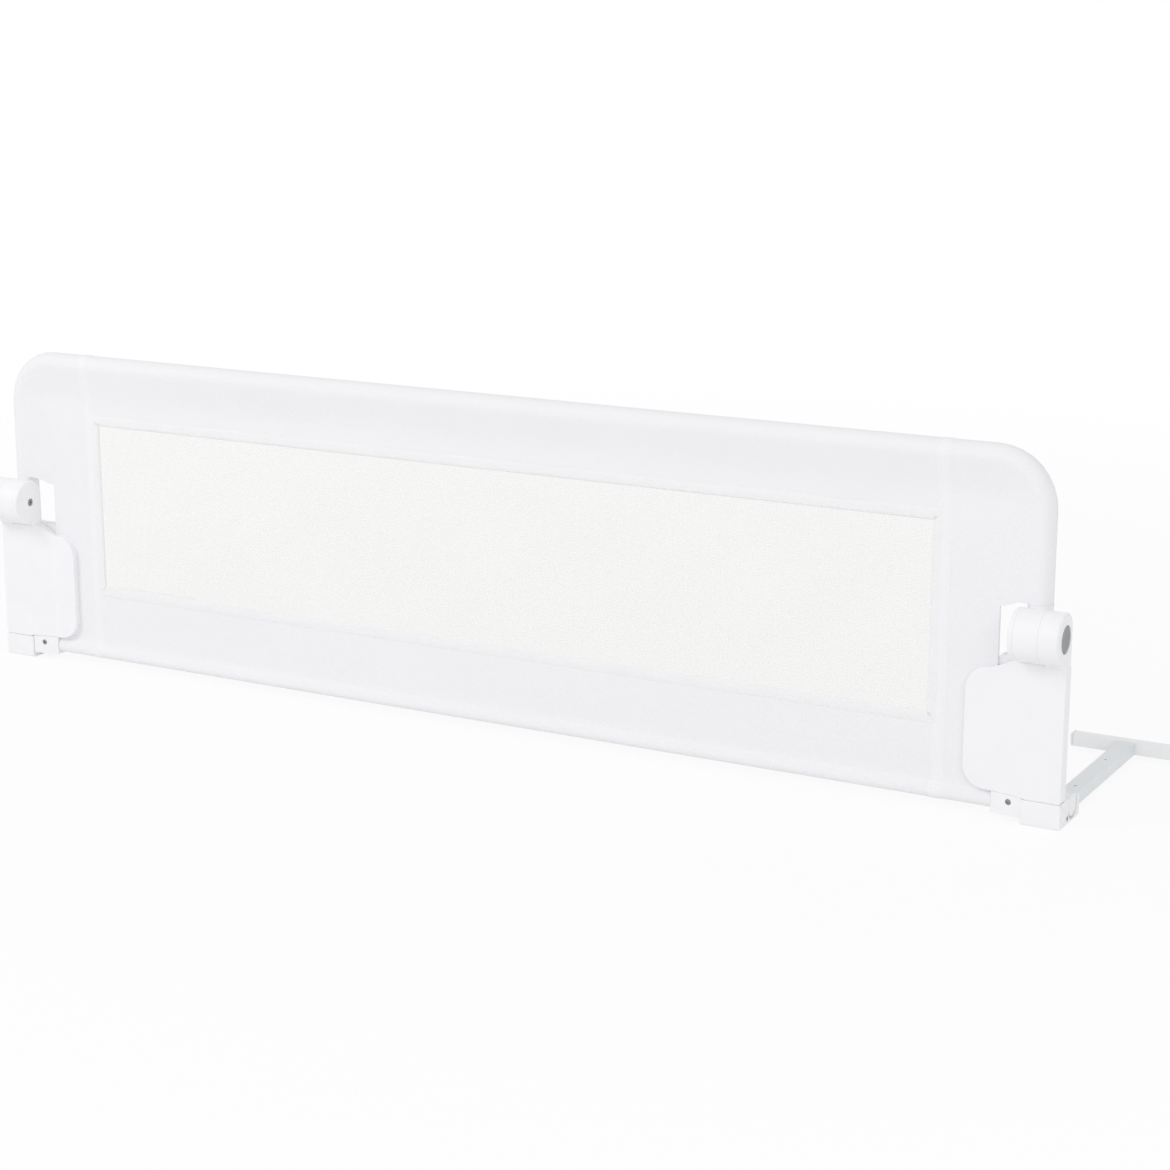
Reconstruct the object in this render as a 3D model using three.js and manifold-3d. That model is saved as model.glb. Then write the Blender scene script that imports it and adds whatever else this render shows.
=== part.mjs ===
// Folding bed guard rail: a mesh guard on a steel tube frame. The upper frame folds down in front
// of the lower one on two lockable end hinges, and the two base arms fold up behind it.
// Millimetres, +Z up, X along the rail, +Y towards the bed. The pieces are drawn with the rail's
// middle plane at y = 0, then the whole rail is moved so that its footprint is centred.

import * as THREE from 'three';
import { mergeGeometries, mergeVertices } from 'three/addons/utils/BufferGeometryUtils.js';
import Module from 'manifold-3d';

// Whole rail
const railLength = 1500; // over both end housings
const railHeight = 420; // from the floor to the top of the cover
const fitGap = 0.3; // between pieces that touch or slide
const overrun = 2; // how far a cut runs past the face it opens

// Upper frame tube
const tubeDiameter = 25;
const tubeWall = 1.2;
const uprightInset = 37.5; // from the housing's outer face to the upright's centreline
const bendRadius = 55; // of the centreline at the top corners
const jointInset = 330; // from the housing's outer face to the joint in the top tube
const joinerLength = 96;
const joinerWall = 1.5;

// Cover
const clothThickness = 1;
const panelThickness = 3; // both cloth layers where they lie together
const sleeveReach = 44; // from a tube's centreline to where both layers meet
const lowSleeveReach = 12.5;
const seamInset = 150; // from the housing's outer face to the seam beside the window
const coverEndInset = 83; // from the housing's outer face to the cover's lower end edge
const notchSlant = 8.5; // rise of the cover's edge over the hinge, towards the upright
const windowBottom = 109;
const topBandHeight = 92; // from the top of the cover down to the window
const bindingWidth = 14;
const bindingThickness = 4.4;
const meshThickness = 1;
const meshStrand = 5;
const meshColumns = 30;
const meshRows = 4;

// Hinges
const hingeForward = 20.8; // from the rail's middle plane forward to the hinge axis
const hingeHeight = 217.6;
const barrelRadius = 29.2;
const innerEarWidth = 6;
const socketWall = 1.4;
const socketDrop = 22.9; // from the hinge axis down to the socket's floor
const collarRise = 31.4; // from the hinge axis up to the socket's mouth
const knuckleRear = 6; // how far behind the middle plane the knuckle's body runs
const earCorner = 18; // radius of the upper rear corner of the ears and the knuckle
const pinRadius = 3;
const pinHeadRadius = 4.5;
const pinHeadDepth = 2.5;
const pinLength = 47;
const knuckleScrewRise = 14.4;

// Lock and release button
const buttonRadius = 15.5;
const buttonRecess = 1; // from the barrel's end face in to the button's face
const buttonFace = 2.5;
const buttonWall = 2.4;
const buttonTravel = 6;
const cavityFloor = 6;
const hubRadius = 6.6;
const hubLength = 17;
const springRadius = 5;
const springWire = 1.3;
const springTurns = 4;
const springLength = 11.4;

// End housings
const housingDepth = 32.8;
const housingWall = 2.4;
const housingDrop = 32.6; // from the hinge axis down to the housing's top
const housingEdge = 1.6; // bevel round the shells' faces
const boxWidth = 45;
const plateInset = 117; // from the housing's outer face to the cover plate's inner edge
const plateFront = 9.5; // from the middle plane forward to the cover plate's face
const rampWidth = 35; // of the slope between the cover plate's face and the box's
const plateBottom = 31;
const plateDrop = 13; // from the housing's top down to the plate's top
const plateCorner = 27;
const frontShoulder = 60; // from the housing's outer face to the front shell's shoulder
const frontShoulderRun = 26;
const rearShoulder = 82; // the same at the rear shell
const rearShoulderRun = 12;
const rearInset = 6; // how far the rear shell's outer side lies inside the front shell's
const bossRadius = 3.6;
const screwRadius = 1.6;
const screwHeadRadius = 3.1;
const screwHeadDepth = 2.4;
const screwReach = 10;
const lowerTubeDiameter = 18;
const lowerTubeWall = 1.2;

// Bottom rail
const bottomTubeDiameter = 14;
const bottomTubeWall = 1.2;
const bottomTubeHeight = 18;
const connectorLength = 36;
const connectorBottom = 6.5;
const connectorDepth = 28.8; // beside the foot
const connectorTip = 18; // depth at the end that takes the rail
const connectorSocket = 20;
const connectorScrewRise = 4;

// Feet and base arms
const footHeight = 29;
const footRear = 50; // from the rail's middle plane back to the foot's rear face
const footCheekTop = 24;
const cutWidening = 3; // slot left round the arm's end in the outer cheek
const armPivotBack = 28;
const armPivotHeight = 17;
const armEndRadius = 12.5;
const pivotPinRadius = 4;
const armInset = 16.9; // from the housing's outer face to the arm's centreline
const armWidth = 21.2;
const armHeight = 15.5;
const armWall = 1.5;
const armTubeStart = 53;
const armTubeEnd = 275; // also the front face of the T-bar
const armSpigot = 30;
const armHoleRadius = 2;
const armHoleBacks = [86, 195];
const armEndBlock = 12;
const tBarLength = 138;
const tBarDepth = 15;
const capFlange = 3;
const capSpigot = 14;
const tBarScrewRadius = 2.5;
const tBarScrewHead = 4.6;
const footScrewBack = 10;
const footScrewHeight = 6.5;

// Facet counts
const roundSides = 16;
const pinSides = 8;
const hubSides = 6;
const cornerSteps = 6;
const springSides = 5;
const springStepsPerTurn = 8;

// Places that follow from the sizes, all on the right-hand side
const endX = railLength / 2;
const uprightX = endX - uprightInset;
const seamX = endX - seamInset;
const coverEndX = endX - coverEndInset;
const plateX = endX - plateInset;
const boxX = endX - boxWidth;
const armX = endX - armInset;
const housingFront = -housingDepth / 2;
const housingTop = hingeHeight - housingDrop;
const plateTop = housingTop - plateDrop;
const windowTop = railHeight - topBandHeight;
const collarTop = hingeHeight + collarRise;
const socketFloor = hingeHeight - socketDrop;
const knuckleScrewHeight = hingeHeight + knuckleScrewRise;
const partingY = -fitGap / 2;
const hingeY = -hingeForward;
const tubeRadius = tubeDiameter / 2;
const sleeveHole = tubeRadius + fitGap;
const sleeveRadius = sleeveHole + clothThickness;
const topTubeZ = railHeight - sleeveRadius;
const cornerZ = topTubeZ - bendRadius;
const cornerX = uprightX - bendRadius;
const cornerLength = bendRadius * Math.PI / 2;
const knuckleHalf = tubeRadius + fitGap + socketWall;
const knuckleInnerX = uprightX - knuckleHalf;
const knuckleOuterX = uprightX + knuckleHalf;
const earInnerX = knuckleInnerX - fitGap;
const barrelInnerX = earInnerX - innerEarWidth;
const earOuterX = knuckleOuterX + fitGap;
const cavityX = earOuterX + cavityFloor;
const hubOuterX = cavityX;
const hubInnerX = hubOuterX - hubLength;
const springFloorX = hubInnerX - springLength - 2 * fitGap;
const hubHoleRadius = hubRadius + fitGap;
const hubBoreRadius = hubRadius + 2 * fitGap;
const notchTop = collarTop + fitGap;
const foldGapLow = hingeHeight - fitGap / 2;
const foldGapHigh = hingeHeight + fitGap / 2;
const footCheekX = armX + armWidth / 2 + fitGap;
const armBottom = armPivotHeight - armEndRadius;
const armTop = armBottom + armHeight;
const armMiddle = (armBottom + armTop) / 2;
const tBarRear = armTubeEnd + tBarDepth;
const railRear = tBarRear + fitGap + screwHeadDepth; // the head of the T-bar's screw
const footprintMiddle = (railRear + hingeY - barrelRadius) / 2;

const alongX = new THREE.Vector3(1, 0, 0);
const alongY = new THREE.Vector3(0, 1, 0);
const alongZ = new THREE.Vector3(0, 0, 1);

const library = await Module();
library.setup();

// A closed mesh as a solid that can be joined and cut
function solidOf(geometry) {
  const bare = geometry.index ? geometry.toNonIndexed() : geometry.clone();
  bare.deleteAttribute('normal');
  bare.deleteAttribute('uv');
  const merged = mergeVertices(bare);
  return new library.Manifold(new library.Mesh({
    numProp: 3,
    vertProperties: new Float32Array(merged.attributes.position.array),
    triVerts: new Uint32Array(merged.index.array),
  }));
}

function geometryOf(solid) {
  const mesh = solid.getMesh();
  const geometry = new THREE.BufferGeometry();
  geometry.setAttribute('position', new THREE.BufferAttribute(mesh.vertProperties, 3));
  geometry.setIndex(new THREE.BufferAttribute(mesh.triVerts, 1));
  geometry.computeVertexNormals();
  return geometry;
}

// The same solid seen in a mirror across the given axis (0 for X, 1 for Y)
function mirrored(solid, axis) {
  const geometry = geometryOf(solid);
  const position = geometry.attributes.position;
  for (let i = 0; i < position.count; i += 1) {
    position.setComponent(i, axis, -position.getComponent(i, axis));
  }
  const index = geometry.index;
  for (let i = 0; i < index.count; i += 3) {
    const second = index.getX(i + 1);
    index.setX(i + 1, index.getX(i + 2));
    index.setX(i + 2, second);
  }
  return solidOf(geometry);
}

function joined(solids) {
  return solids.reduce((whole, next) => whole.add(next));
}

// An outline drawn along p and q, pushed a length along p cross q
function prism(shape, start, p, q, length) {
  const geometry = new THREE.ExtrudeGeometry(shape, {
    depth: length,
    bevelEnabled: false,
    curveSegments: roundSides / 2,
  });
  const away = new THREE.Vector3().crossVectors(p, q);
  const place = new THREE.Matrix4().makeBasis(p, q, away).setPosition(start);
  return solidOf(geometry.applyMatrix4(place));
}

// A Y-Z profile between two places along X
function sideProfile(shape, lowX, highX) {
  return prism(shape, new THREE.Vector3(lowX, 0, 0), alongY, alongZ, highX - lowX);
}

// An X-Z outline between two places along Y
function frontOutline(shape, lowY, highY) {
  return prism(shape, new THREE.Vector3(0, highY, 0), alongX, alongZ, highY - lowY);
}

function boxGeometry(lowX, highX, lowY, highY, lowZ, highZ) {
  const geometry = new THREE.BoxGeometry(highX - lowX, highY - lowY, highZ - lowZ);
  return geometry.translate((lowX + highX) / 2, (lowY + highY) / 2, (lowZ + highZ) / 2);
}

function block(...limits) {
  return solidOf(boxGeometry(...limits));
}

function rodX(lowX, highX, y, z, radius, sides = roundSides) {
  const geometry = new THREE.CylinderGeometry(radius, radius, highX - lowX, sides);
  geometry.rotateZ(Math.PI / 2);
  geometry.translate((lowX + highX) / 2, y, z);
  return solidOf(geometry);
}

function rodY(lowY, highY, x, z, radius, sides = pinSides) {
  const geometry = new THREE.CylinderGeometry(radius, radius, highY - lowY, sides);
  geometry.translate(x, (lowY + highY) / 2, z);
  return solidOf(geometry);
}

function rodZ(lowZ, highZ, x, y, radius, sides = roundSides) {
  const geometry = new THREE.CylinderGeometry(radius, radius, highZ - lowZ, sides);
  geometry.rotateX(Math.PI / 2);
  geometry.translate(x, y, (lowZ + highZ) / 2);
  return solidOf(geometry);
}

// A polygon through the given corners
function polygon(corners) {
  const shape = new THREE.Shape();
  shape.setFromPoints(corners.map(([u, v]) => new THREE.Vector2(u, v)));
  return shape;
}

function circleOutline(radius) {
  const shape = new THREE.Shape();
  shape.absarc(0, 0, radius, 0, 2 * Math.PI, false);
  return shape;
}

// A tube's section: p points in towards the window, q forward
function tubeSection(radius, wall) {
  const shape = circleOutline(radius);
  shape.holes.push(circleOutline(radius - wall));
  return shape;
}

// Cloth round a tube at the origin, drawn in to a flat tail that runs along +p
function sleeveSection(radius, reach, tail) {
  const half = panelThickness / 2;
  const far = Math.hypot(half, reach);
  const contact = Math.atan2(half, reach) + Math.acos(radius / far);
  const shape = new THREE.Shape();
  shape.moveTo(tail, -half);
  shape.lineTo(tail, half);
  shape.lineTo(reach, half);
  shape.absarc(0, 0, radius, contact, 2 * Math.PI - contact, false);
  shape.lineTo(reach, -half);
  return shape;
}

// Place and inward direction on the upper frame's centreline: distance 0 is where the right-hand
// upright starts to bend, negative distances lie below it
function framePlace(distance) {
  if (distance < 0) {
    return { x: uprightX, z: cornerZ + distance, inX: -1, inZ: 0 };
  }
  if (distance > cornerLength) {
    return { x: cornerX - (distance - cornerLength), z: topTubeZ, inX: 0, inZ: -1 };
  }
  const turn = distance / bendRadius;
  const x = cornerX + bendRadius * Math.cos(turn);
  const z = cornerZ + bendRadius * Math.sin(turn);
  return { x, z, inX: -Math.cos(turn), inZ: -Math.sin(turn) };
}

// A section pushed along the upper frame's centreline between two distances
function alongFrame(shape, from, to) {
  const stations = [from];
  for (let i = 0; i <= cornerSteps; i += 1) {
    const distance = cornerLength * i / cornerSteps;
    if (distance > from && distance < to) {
      stations.push(distance);
    }
  }
  stations.push(to);
  const steps = stations.length - 1;
  const geometry = new THREE.ExtrudeGeometry(shape, {
    depth: steps,
    steps,
    bevelEnabled: false,
    curveSegments: roundSides / 2,
  });
  const position = geometry.attributes.position;
  for (let i = 0; i < position.count; i += 1) {
    const place = framePlace(stations[Math.round(position.getZ(i))]);
    const inward = position.getX(i);
    const forward = position.getY(i);
    position.setXYZ(i, place.x + place.inX * inward, -forward, place.z + place.inZ * inward);
  }
  return solidOf(geometry);
}

// Upper frame

const tubeStart = socketFloor + fitGap - cornerZ;
const middleTubeX = endX - jointInset;
const endTubeX = middleTubeX + fitGap;
const tubeFinish = cornerLength + cornerX - endTubeX;

function topTube() {
  const screwHole = rodY(0, tubeRadius + overrun, uprightX, knuckleScrewHeight, screwRadius + fitGap);
  return alongFrame(tubeSection(tubeRadius, tubeWall), tubeStart, tubeFinish).subtract(screwHole);
}

// The hole for the hinge pin between two places along X
function hingeBore(lowX, highX) {
  return rodX(lowX, highX, hingeY, hingeHeight, pinRadius + fitGap, pinSides);
}

function straightTube(lowX, highX, radius, wall, z) {
  const start = new THREE.Vector3(lowX, 0, z);
  return prism(tubeSection(radius, wall), start, alongY, alongZ, highX - lowX);
}

function topTubeMiddle() {
  return straightTube(-middleTubeX, middleTubeX, tubeRadius, tubeWall, topTubeZ);
}

// A short tube inside the joint between the middle tube and an end tube
function topJoiner() {
  const lowX = endTubeX - joinerLength / 2;
  const radius = tubeRadius - tubeWall - fitGap;
  return straightTube(lowX, lowX + joinerLength, radius, joinerWall, topTubeZ);
}

// The barrel's Y-Z profile from a flat rear face over a rounded corner and round the front to its
// lowest point
function barrelProfile(rearY) {
  const cornerY = rearY - earCorner;
  const reach = barrelRadius - earCorner;
  const rise = Math.sqrt(reach ** 2 - (cornerY - hingeY) ** 2);
  const join = Math.atan2(rise, cornerY - hingeY);
  const shape = new THREE.Shape();
  shape.absarc(cornerY, hingeHeight + rise, earCorner, 0, join, false);
  shape.absarc(hingeY, hingeHeight, barrelRadius, join, 3 * Math.PI / 2, false);
  return shape;
}

// The knuckle turns on the hinge axis and holds the foot of the upright in its round socket. Its
// flat seat rests on the housing and stops the rail from leaning towards the bed.
function knuckle() {
  const seat = housingTop + fitGap;
  const rear = knuckleHalf;
  const shape = barrelProfile(knuckleRear);
  shape.lineTo(hingeY, seat);
  shape.lineTo(knuckleRear, seat);
  const body = sideProfile(shape, knuckleInnerX, knuckleOuterX);
  const collar = rodZ(seat, collarTop, uprightX, 0, knuckleHalf);
  const socket = rodZ(socketFloor, collarTop + overrun, uprightX, 0, sleeveHole);
  const pinBore = hingeBore(knuckleInnerX - overrun, knuckleOuterX);
  const hubBore = rodX(springFloorX, knuckleOuterX + overrun, hingeY, hingeHeight, hubBoreRadius);
  const screwHole = rodY(0, rear + overrun, uprightX, knuckleScrewHeight, screwRadius + fitGap);
  const holes = joined([socket, pinBore, hubBore, screwHole]);
  return body.add(collar).subtract(holes);
}

function screwAlongY(headY, tipY, x, z) {
  const direction = Math.sign(tipY - headY);
  const underHead = headY + direction * screwHeadDepth;
  const head = rodY(Math.min(headY, underHead), Math.max(headY, underHead), x, z, screwHeadRadius);
  const shaft = rodY(Math.min(headY, tipY), Math.max(headY, tipY), x, z, screwRadius);
  return head.add(shaft);
}

function knuckleScrew() {
  const headY = knuckleHalf + fitGap + screwHeadDepth;
  return screwAlongY(headY, tubeRadius - tubeWall - screwHeadDepth, uprightX, knuckleScrewHeight);
}

// Lock and release button

function hingePin() {
  const headX = barrelInnerX + fitGap;
  const head = rodX(headX, headX + pinHeadDepth, hingeY, hingeHeight, pinHeadRadius, pinSides);
  return head.add(rodX(headX, headX + pinLength, hingeY, hingeHeight, pinRadius, pinSides));
}

function lockHub() {
  const hub = rodX(hubInnerX, hubOuterX, hingeY, hingeHeight, hubRadius, hubSides);
  return hub.subtract(hingeBore(hubInnerX - overrun, hubOuterX + overrun));
}

class CoilCurve extends THREE.Curve {
  getPoint(share) {
    const turn = 2 * Math.PI * springTurns * share;
    const run = springLength - springWire;
    const x = springFloorX + fitGap + springWire / 2 + run * share;
    const y = hingeY + springRadius * Math.cos(turn);
    const z = hingeHeight + springRadius * Math.sin(turn);
    return new THREE.Vector3(x, y, z);
  }
}

function buttonSpring() {
  const wire = new THREE.Shape();
  for (let i = 0; i < springSides; i += 1) {
    const turn = 2 * Math.PI * i / springSides;
    const u = springWire / 2 * Math.cos(turn);
    const v = springWire / 2 * Math.sin(turn);
    if (i === 0) {
      wire.moveTo(u, v);
    } else {
      wire.lineTo(u, v);
    }
  }
  const geometry = new THREE.ExtrudeGeometry(wire, {
    steps: springTurns * springStepsPerTurn,
    extrudePath: new CoilCurve(),
  });
  return solidOf(geometry);
}

// A cup with a flat face, a skirt that guides it in the barrel and a hexagonal boss that follows the
// hub into the outer ear and pushes it
function releaseButton() {
  const faceX = endX - buttonRecess;
  const backX = faceX - buttonFace;
  const skirtX = cavityX + fitGap + buttonTravel;
  const bossX = hubOuterX + fitGap;
  const cup = rodX(skirtX, faceX, hingeY, hingeHeight, buttonRadius);
  const hollow = rodX(skirtX - overrun, backX, hingeY, hingeHeight, buttonRadius - buttonWall);
  const boss = rodX(bossX, faceX - buttonFace / 2, hingeY, hingeHeight, hubRadius, hubSides);
  return cup.subtract(hollow).add(boss).subtract(hingeBore(bossX - overrun, backX));
}

// End housings

// How each shell's outline differs: its outer side, and the shoulder between box and cover plate
const frontShape = { side: 0, shoulder: frontShoulder, run: frontShoulderRun };
const rearShape = { side: rearInset, shoulder: rearShoulder, run: rearShoulderRun };
const rearHollow = { side: rearInset, shoulder: frontShoulder, run: frontShoulderRun };

// The outline of one of a housing's shells from the front, drawn in by an inset: a box above the
// foot, and a cover plate with rounded corners that clamps the cover's edge
function housingOutline(inset, form) {
  const left = plateX + inset;
  const right = endX - form.side - inset;
  const top = plateTop - inset;
  const bottom = plateBottom + inset;
  const radius = plateCorner - inset;
  const boxBottom = footHeight + fitGap + inset;
  const shoulder = endX - form.shoulder + inset;
  const shape = new THREE.Shape();
  shape.moveTo(right, boxBottom);
  shape.lineTo(right, housingTop - inset);
  shape.lineTo(shoulder, housingTop - inset);
  shape.lineTo(shoulder - form.run, top);
  shape.absarc(left + radius, top - radius, radius, Math.PI / 2, Math.PI, false);
  shape.absarc(left + radius, bottom + radius, radius, Math.PI, 3 * Math.PI / 2, false);
  shape.lineTo(boxX + inset, bottom);
  shape.lineTo(boxX + inset, boxBottom);
  return shape;
}

// How far the front shell's face lies in front of the middle plane at a place along X
function faceDepth(x) {
  const share = Math.min(1, Math.max(0, (x - boxX + rampWidth) / rampWidth));
  return plateFront + (housingDepth / 2 - plateFront) * share;
}

// All that lies in front of the cover plate and its slope, moved back by an inset
function beforePlate(inset) {
  const rampX = boxX - rampWidth;
  const farX = plateX - overrun;
  const farY = housingFront - overrun;
  const shape = polygon([
    [farX, farY],
    [boxX, farY],
    [boxX, housingFront + inset],
    [rampX, inset - plateFront],
    [farX, inset - plateFront],
  ]);
  return prism(shape, new THREE.Vector3(0, 0, 0), alongX, alongY, railHeight);
}

const housingScrewX = (coverEndX + boxX) / 2;
const housingScrewLow = plateBottom + plateCorner / 2;
const housingScrewHigh = plateTop - plateCorner / 2;

// A rod along Y at each of the housing's two screws
function atHousingScrews(lowY, highY, radius) {
  const low = rodY(lowY, highY, housingScrewX, housingScrewLow, radius);
  return low.add(rodY(lowY, highY, housingScrewX, housingScrewHigh, radius));
}

// A shell's outline as a bevelled block that reaches a depth in front of and behind the middle plane
function shellBlock(form, depth) {
  const geometry = new THREE.ExtrudeGeometry(housingOutline(housingEdge, form), {
    depth: 2 * (depth - housingEdge),
    bevelThickness: housingEdge,
    bevelSize: housingEdge,
    bevelSegments: 1,
    curveSegments: roundSides / 4,
  });
  const away = new THREE.Vector3().crossVectors(alongX, alongZ);
  const place = new THREE.Matrix4().makeBasis(alongX, alongZ, away);
  place.setPosition(0, depth - housingEdge, 0);
  return solidOf(geometry.applyMatrix4(place));
}

// A shell's hollow, a wall's thickness behind its outer faces
function shellHollow(form) {
  return frontOutline(housingOutline(housingWall, form), housingFront + housingWall, overrun);
}

// One shell of a housing, drawn as a front one: screw bosses inside, open at the parting plane, and
// with a slot for the cover's edge
function opened(shell, screwDepth) {
  const behind = block(plateX - overrun, endX + overrun, partingY, housingDepth, 0, railHeight);
  const clothY = -panelThickness / 2 - fitGap;
  const clothSlot = block(plateX - overrun, coverEndX + fitGap, clothY, overrun, 0, railHeight);
  const bosses = atHousingScrews(housingWall / 2 - screwDepth, partingY, bossRadius);
  return shell.add(bosses).subtract(behind.add(clothSlot));
}

// An ear of the clevis, as a Y-Z profile: round about the hinge axis, cut flat at the parting
// plane and rooted in the housing's top wall behind the face that it has at a place along X
function earProfile(x) {
  const root = housingTop - housingWall / 2;
  const rootY = housingWall / 2 - faceDepth(x);
  const shape = barrelProfile(partingY);
  shape.lineTo(hingeY, housingTop);
  shape.lineTo(rootY, housingTop);
  shape.lineTo(rootY, root);
  shape.lineTo(partingY, root);
  return shape;
}

function frontShell() {
  const innerEar = sideProfile(earProfile(barrelInnerX), barrelInnerX, earInnerX);
  const outerEar = sideProfile(earProfile(earOuterX), earOuterX, endX);
  const headX = barrelInnerX + fitGap + pinHeadDepth + fitGap;
  const pinHeadRoom = rodX(
    barrelInnerX - overrun, headX, hingeY, hingeHeight, pinHeadRadius + fitGap, pinSides,
  );
  const pinBore = hingeBore(barrelInnerX, earInnerX + overrun);
  const hubHole = rodX(
    earOuterX - overrun, cavityX + overrun, hingeY, hingeHeight, hubHoleRadius, hubSides,
  );
  const cavity = rodX(cavityX, endX + overrun, hingeY, hingeHeight, buttonRadius + fitGap);
  const pilots = atHousingScrews(-screwReach - fitGap, overrun, screwRadius + fitGap);
  const cuts = joined([pinHeadRoom, pinBore, hubHole, cavity, pilots]);
  const box = shellBlock(frontShape, housingDepth / 2).subtract(beforePlate(0));
  const plate = shellBlock(frontShape, plateFront);
  const hollow = shellHollow(frontShape).subtract(beforePlate(housingWall));
  const shell = opened(box.add(plate).subtract(hollow), faceDepth(housingScrewX));
  return joined([shell, innerEar, outerEar]).subtract(cuts);
}

function rearShell() {
  const rear = -housingFront;
  const shafts = atHousingScrews(0, rear + overrun, screwRadius + fitGap);
  const headFloor = rear - screwHeadDepth - 2 * fitGap;
  const heads = atHousingScrews(headFloor, rear + overrun, screwHeadRadius + fitGap);
  const walls = shellBlock(rearShape, rear).subtract(shellHollow(rearHollow));
  return mirrored(opened(walls, rear), 1).subtract(shafts.add(heads));
}

function housingScrew(z) {
  return screwAlongY(-housingFront - fitGap, -screwReach, housingScrewX, z);
}

function lowerUpright() {
  const low = footHeight + fitGap + housingWall + fitGap;
  const high = housingTop - housingWall - fitGap;
  const x = (boxX + endX) / 2;
  const start = new THREE.Vector3(x, 0, low);
  return prism(tubeSection(lowerTubeDiameter / 2, lowerTubeWall), start, alongX, alongY, high - low);
}

// Bottom rail

const bottomTubeRadius = bottomTubeDiameter / 2;
const connectorX = boxX - fitGap - connectorLength;
const bottomTubeX = connectorX + connectorSocket - fitGap;
const connectorScrewX = connectorX + connectorSocket; // over the end of the tube
const connectorScrewZ = bottomTubeHeight + connectorScrewRise;
const connectorSlope = (connectorDepth - connectorTip) / 2 / connectorLength;
const connectorFront = -connectorTip / 2 - connectorSlope * connectorSocket; // at its screw

function bottomRail() {
  return straightTube(-bottomTubeX, bottomTubeX, bottomTubeRadius, bottomTubeWall, bottomTubeHeight);
}

// A block beside the foot, under the cover plate, that tapers towards the rail
function railConnector() {
  const highX = boxX - fitGap;
  const shape = polygon([
    [connectorX, -connectorTip / 2],
    [highX, -connectorDepth / 2],
    [highX, connectorDepth / 2],
    [connectorX, connectorTip / 2],
  ]);
  const height = plateBottom - fitGap - connectorBottom;
  const body = prism(shape, new THREE.Vector3(0, 0, connectorBottom), alongX, alongY, height);
  const socket = rodX(
    connectorX - overrun, connectorScrewX, 0, bottomTubeHeight, bottomTubeRadius + fitGap,
  );
  const headFloor = connectorFront + screwHeadDepth + 2 * fitGap;
  const headRadius = screwHeadRadius + fitGap;
  const head = rodY(connectorFront - overrun, headFloor, connectorScrewX, connectorScrewZ, headRadius);
  const holeEnd = -bottomTubeRadius + fitGap;
  const hole = rodY(connectorFront, holeEnd, connectorScrewX, connectorScrewZ, screwRadius + fitGap);
  return body.subtract(joined([socket, head, hole]));
}

function connectorScrew() {
  const tipY = -bottomTubeRadius - fitGap;
  return screwAlongY(connectorFront + fitGap, tipY, connectorScrewX, connectorScrewZ);
}

// Cover, binding and mesh

// One end panel above the fold: a flat panel whose outer edge wraps the frame tube
function coverUpperEnd() {
  const shape = new THREE.Shape();
  shape.moveTo(seamX + fitGap, foldGapHigh);
  shape.lineTo(coverEndX, foldGapHigh);
  shape.lineTo(coverEndX, notchTop - notchSlant);
  shape.lineTo(barrelInnerX, notchTop);
  shape.lineTo(uprightX, notchTop);
  shape.absarc(cornerX, cornerZ, bendRadius, 0, Math.PI / 2, false);
  shape.lineTo(seamX + fitGap, topTubeZ);
  const half = panelThickness / 2;
  const panel = frontOutline(shape, -half, half);
  const from = notchTop - cornerZ;
  const to = cornerLength + cornerX - seamX - fitGap;
  const sleeve = alongFrame(sleeveSection(sleeveRadius, sleeveReach, sleeveReach + overrun), from, to);
  const tube = alongFrame(circleOutline(sleeveHole), from - overrun, to + overrun);
  return panel.add(sleeve).subtract(tube);
}

// A band of the cover that wraps a tube at one edge; up is 1 where the band rises from the tube
function coverBand(lowX, highX, tubeZ, holeRadius, reach, farZ) {
  const up = Math.sign(farZ - tubeZ);
  const shape = sleeveSection(holeRadius + clothThickness, reach, Math.abs(farZ - tubeZ));
  shape.holes.push(circleOutline(holeRadius));
  const p = alongZ.clone().multiplyScalar(up);
  const q = alongY.clone().multiplyScalar(-1);
  const start = new THREE.Vector3(up > 0 ? lowX : highX, 0, tubeZ);
  return prism(shape, start, p, q, highX - lowX);
}

function coverTopBand() {
  const farZ = windowTop + bindingWidth + fitGap;
  return coverBand(-seamX, seamX, topTubeZ, sleeveHole, sleeveReach, farZ);
}

const bottomSleeveHole = bottomTubeRadius + fitGap;

function coverBottomBand() {
  const farZ = windowBottom - bindingWidth - fitGap;
  return coverBand(-seamX, seamX, bottomTubeHeight, bottomSleeveHole, lowSleeveReach, farZ);
}

function coverLowerEnd() {
  const lowX = seamX + fitGap;
  return coverBand(lowX, coverEndX, bottomTubeHeight, bottomSleeveHole, lowSleeveReach, foldGapLow);
}

// Half of the window's binding: a strip along both sides and the edge away from the fold
function windowBinding(foldZ, edgeZ) {
  const outward = Math.sign(edgeZ - foldZ);
  const outerX = seamX - fitGap;
  const innerX = seamX - bindingWidth;
  const outerZ = edgeZ + outward * bindingWidth;
  const shape = polygon([
    [-outerX, foldZ], [-outerX, outerZ], [outerX, outerZ], [outerX, foldZ],
    [innerX, foldZ], [innerX, edgeZ], [-innerX, edgeZ], [-innerX, foldZ],
  ]);
  return frontOutline(shape, -bindingThickness / 2, bindingThickness / 2);
}

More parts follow.
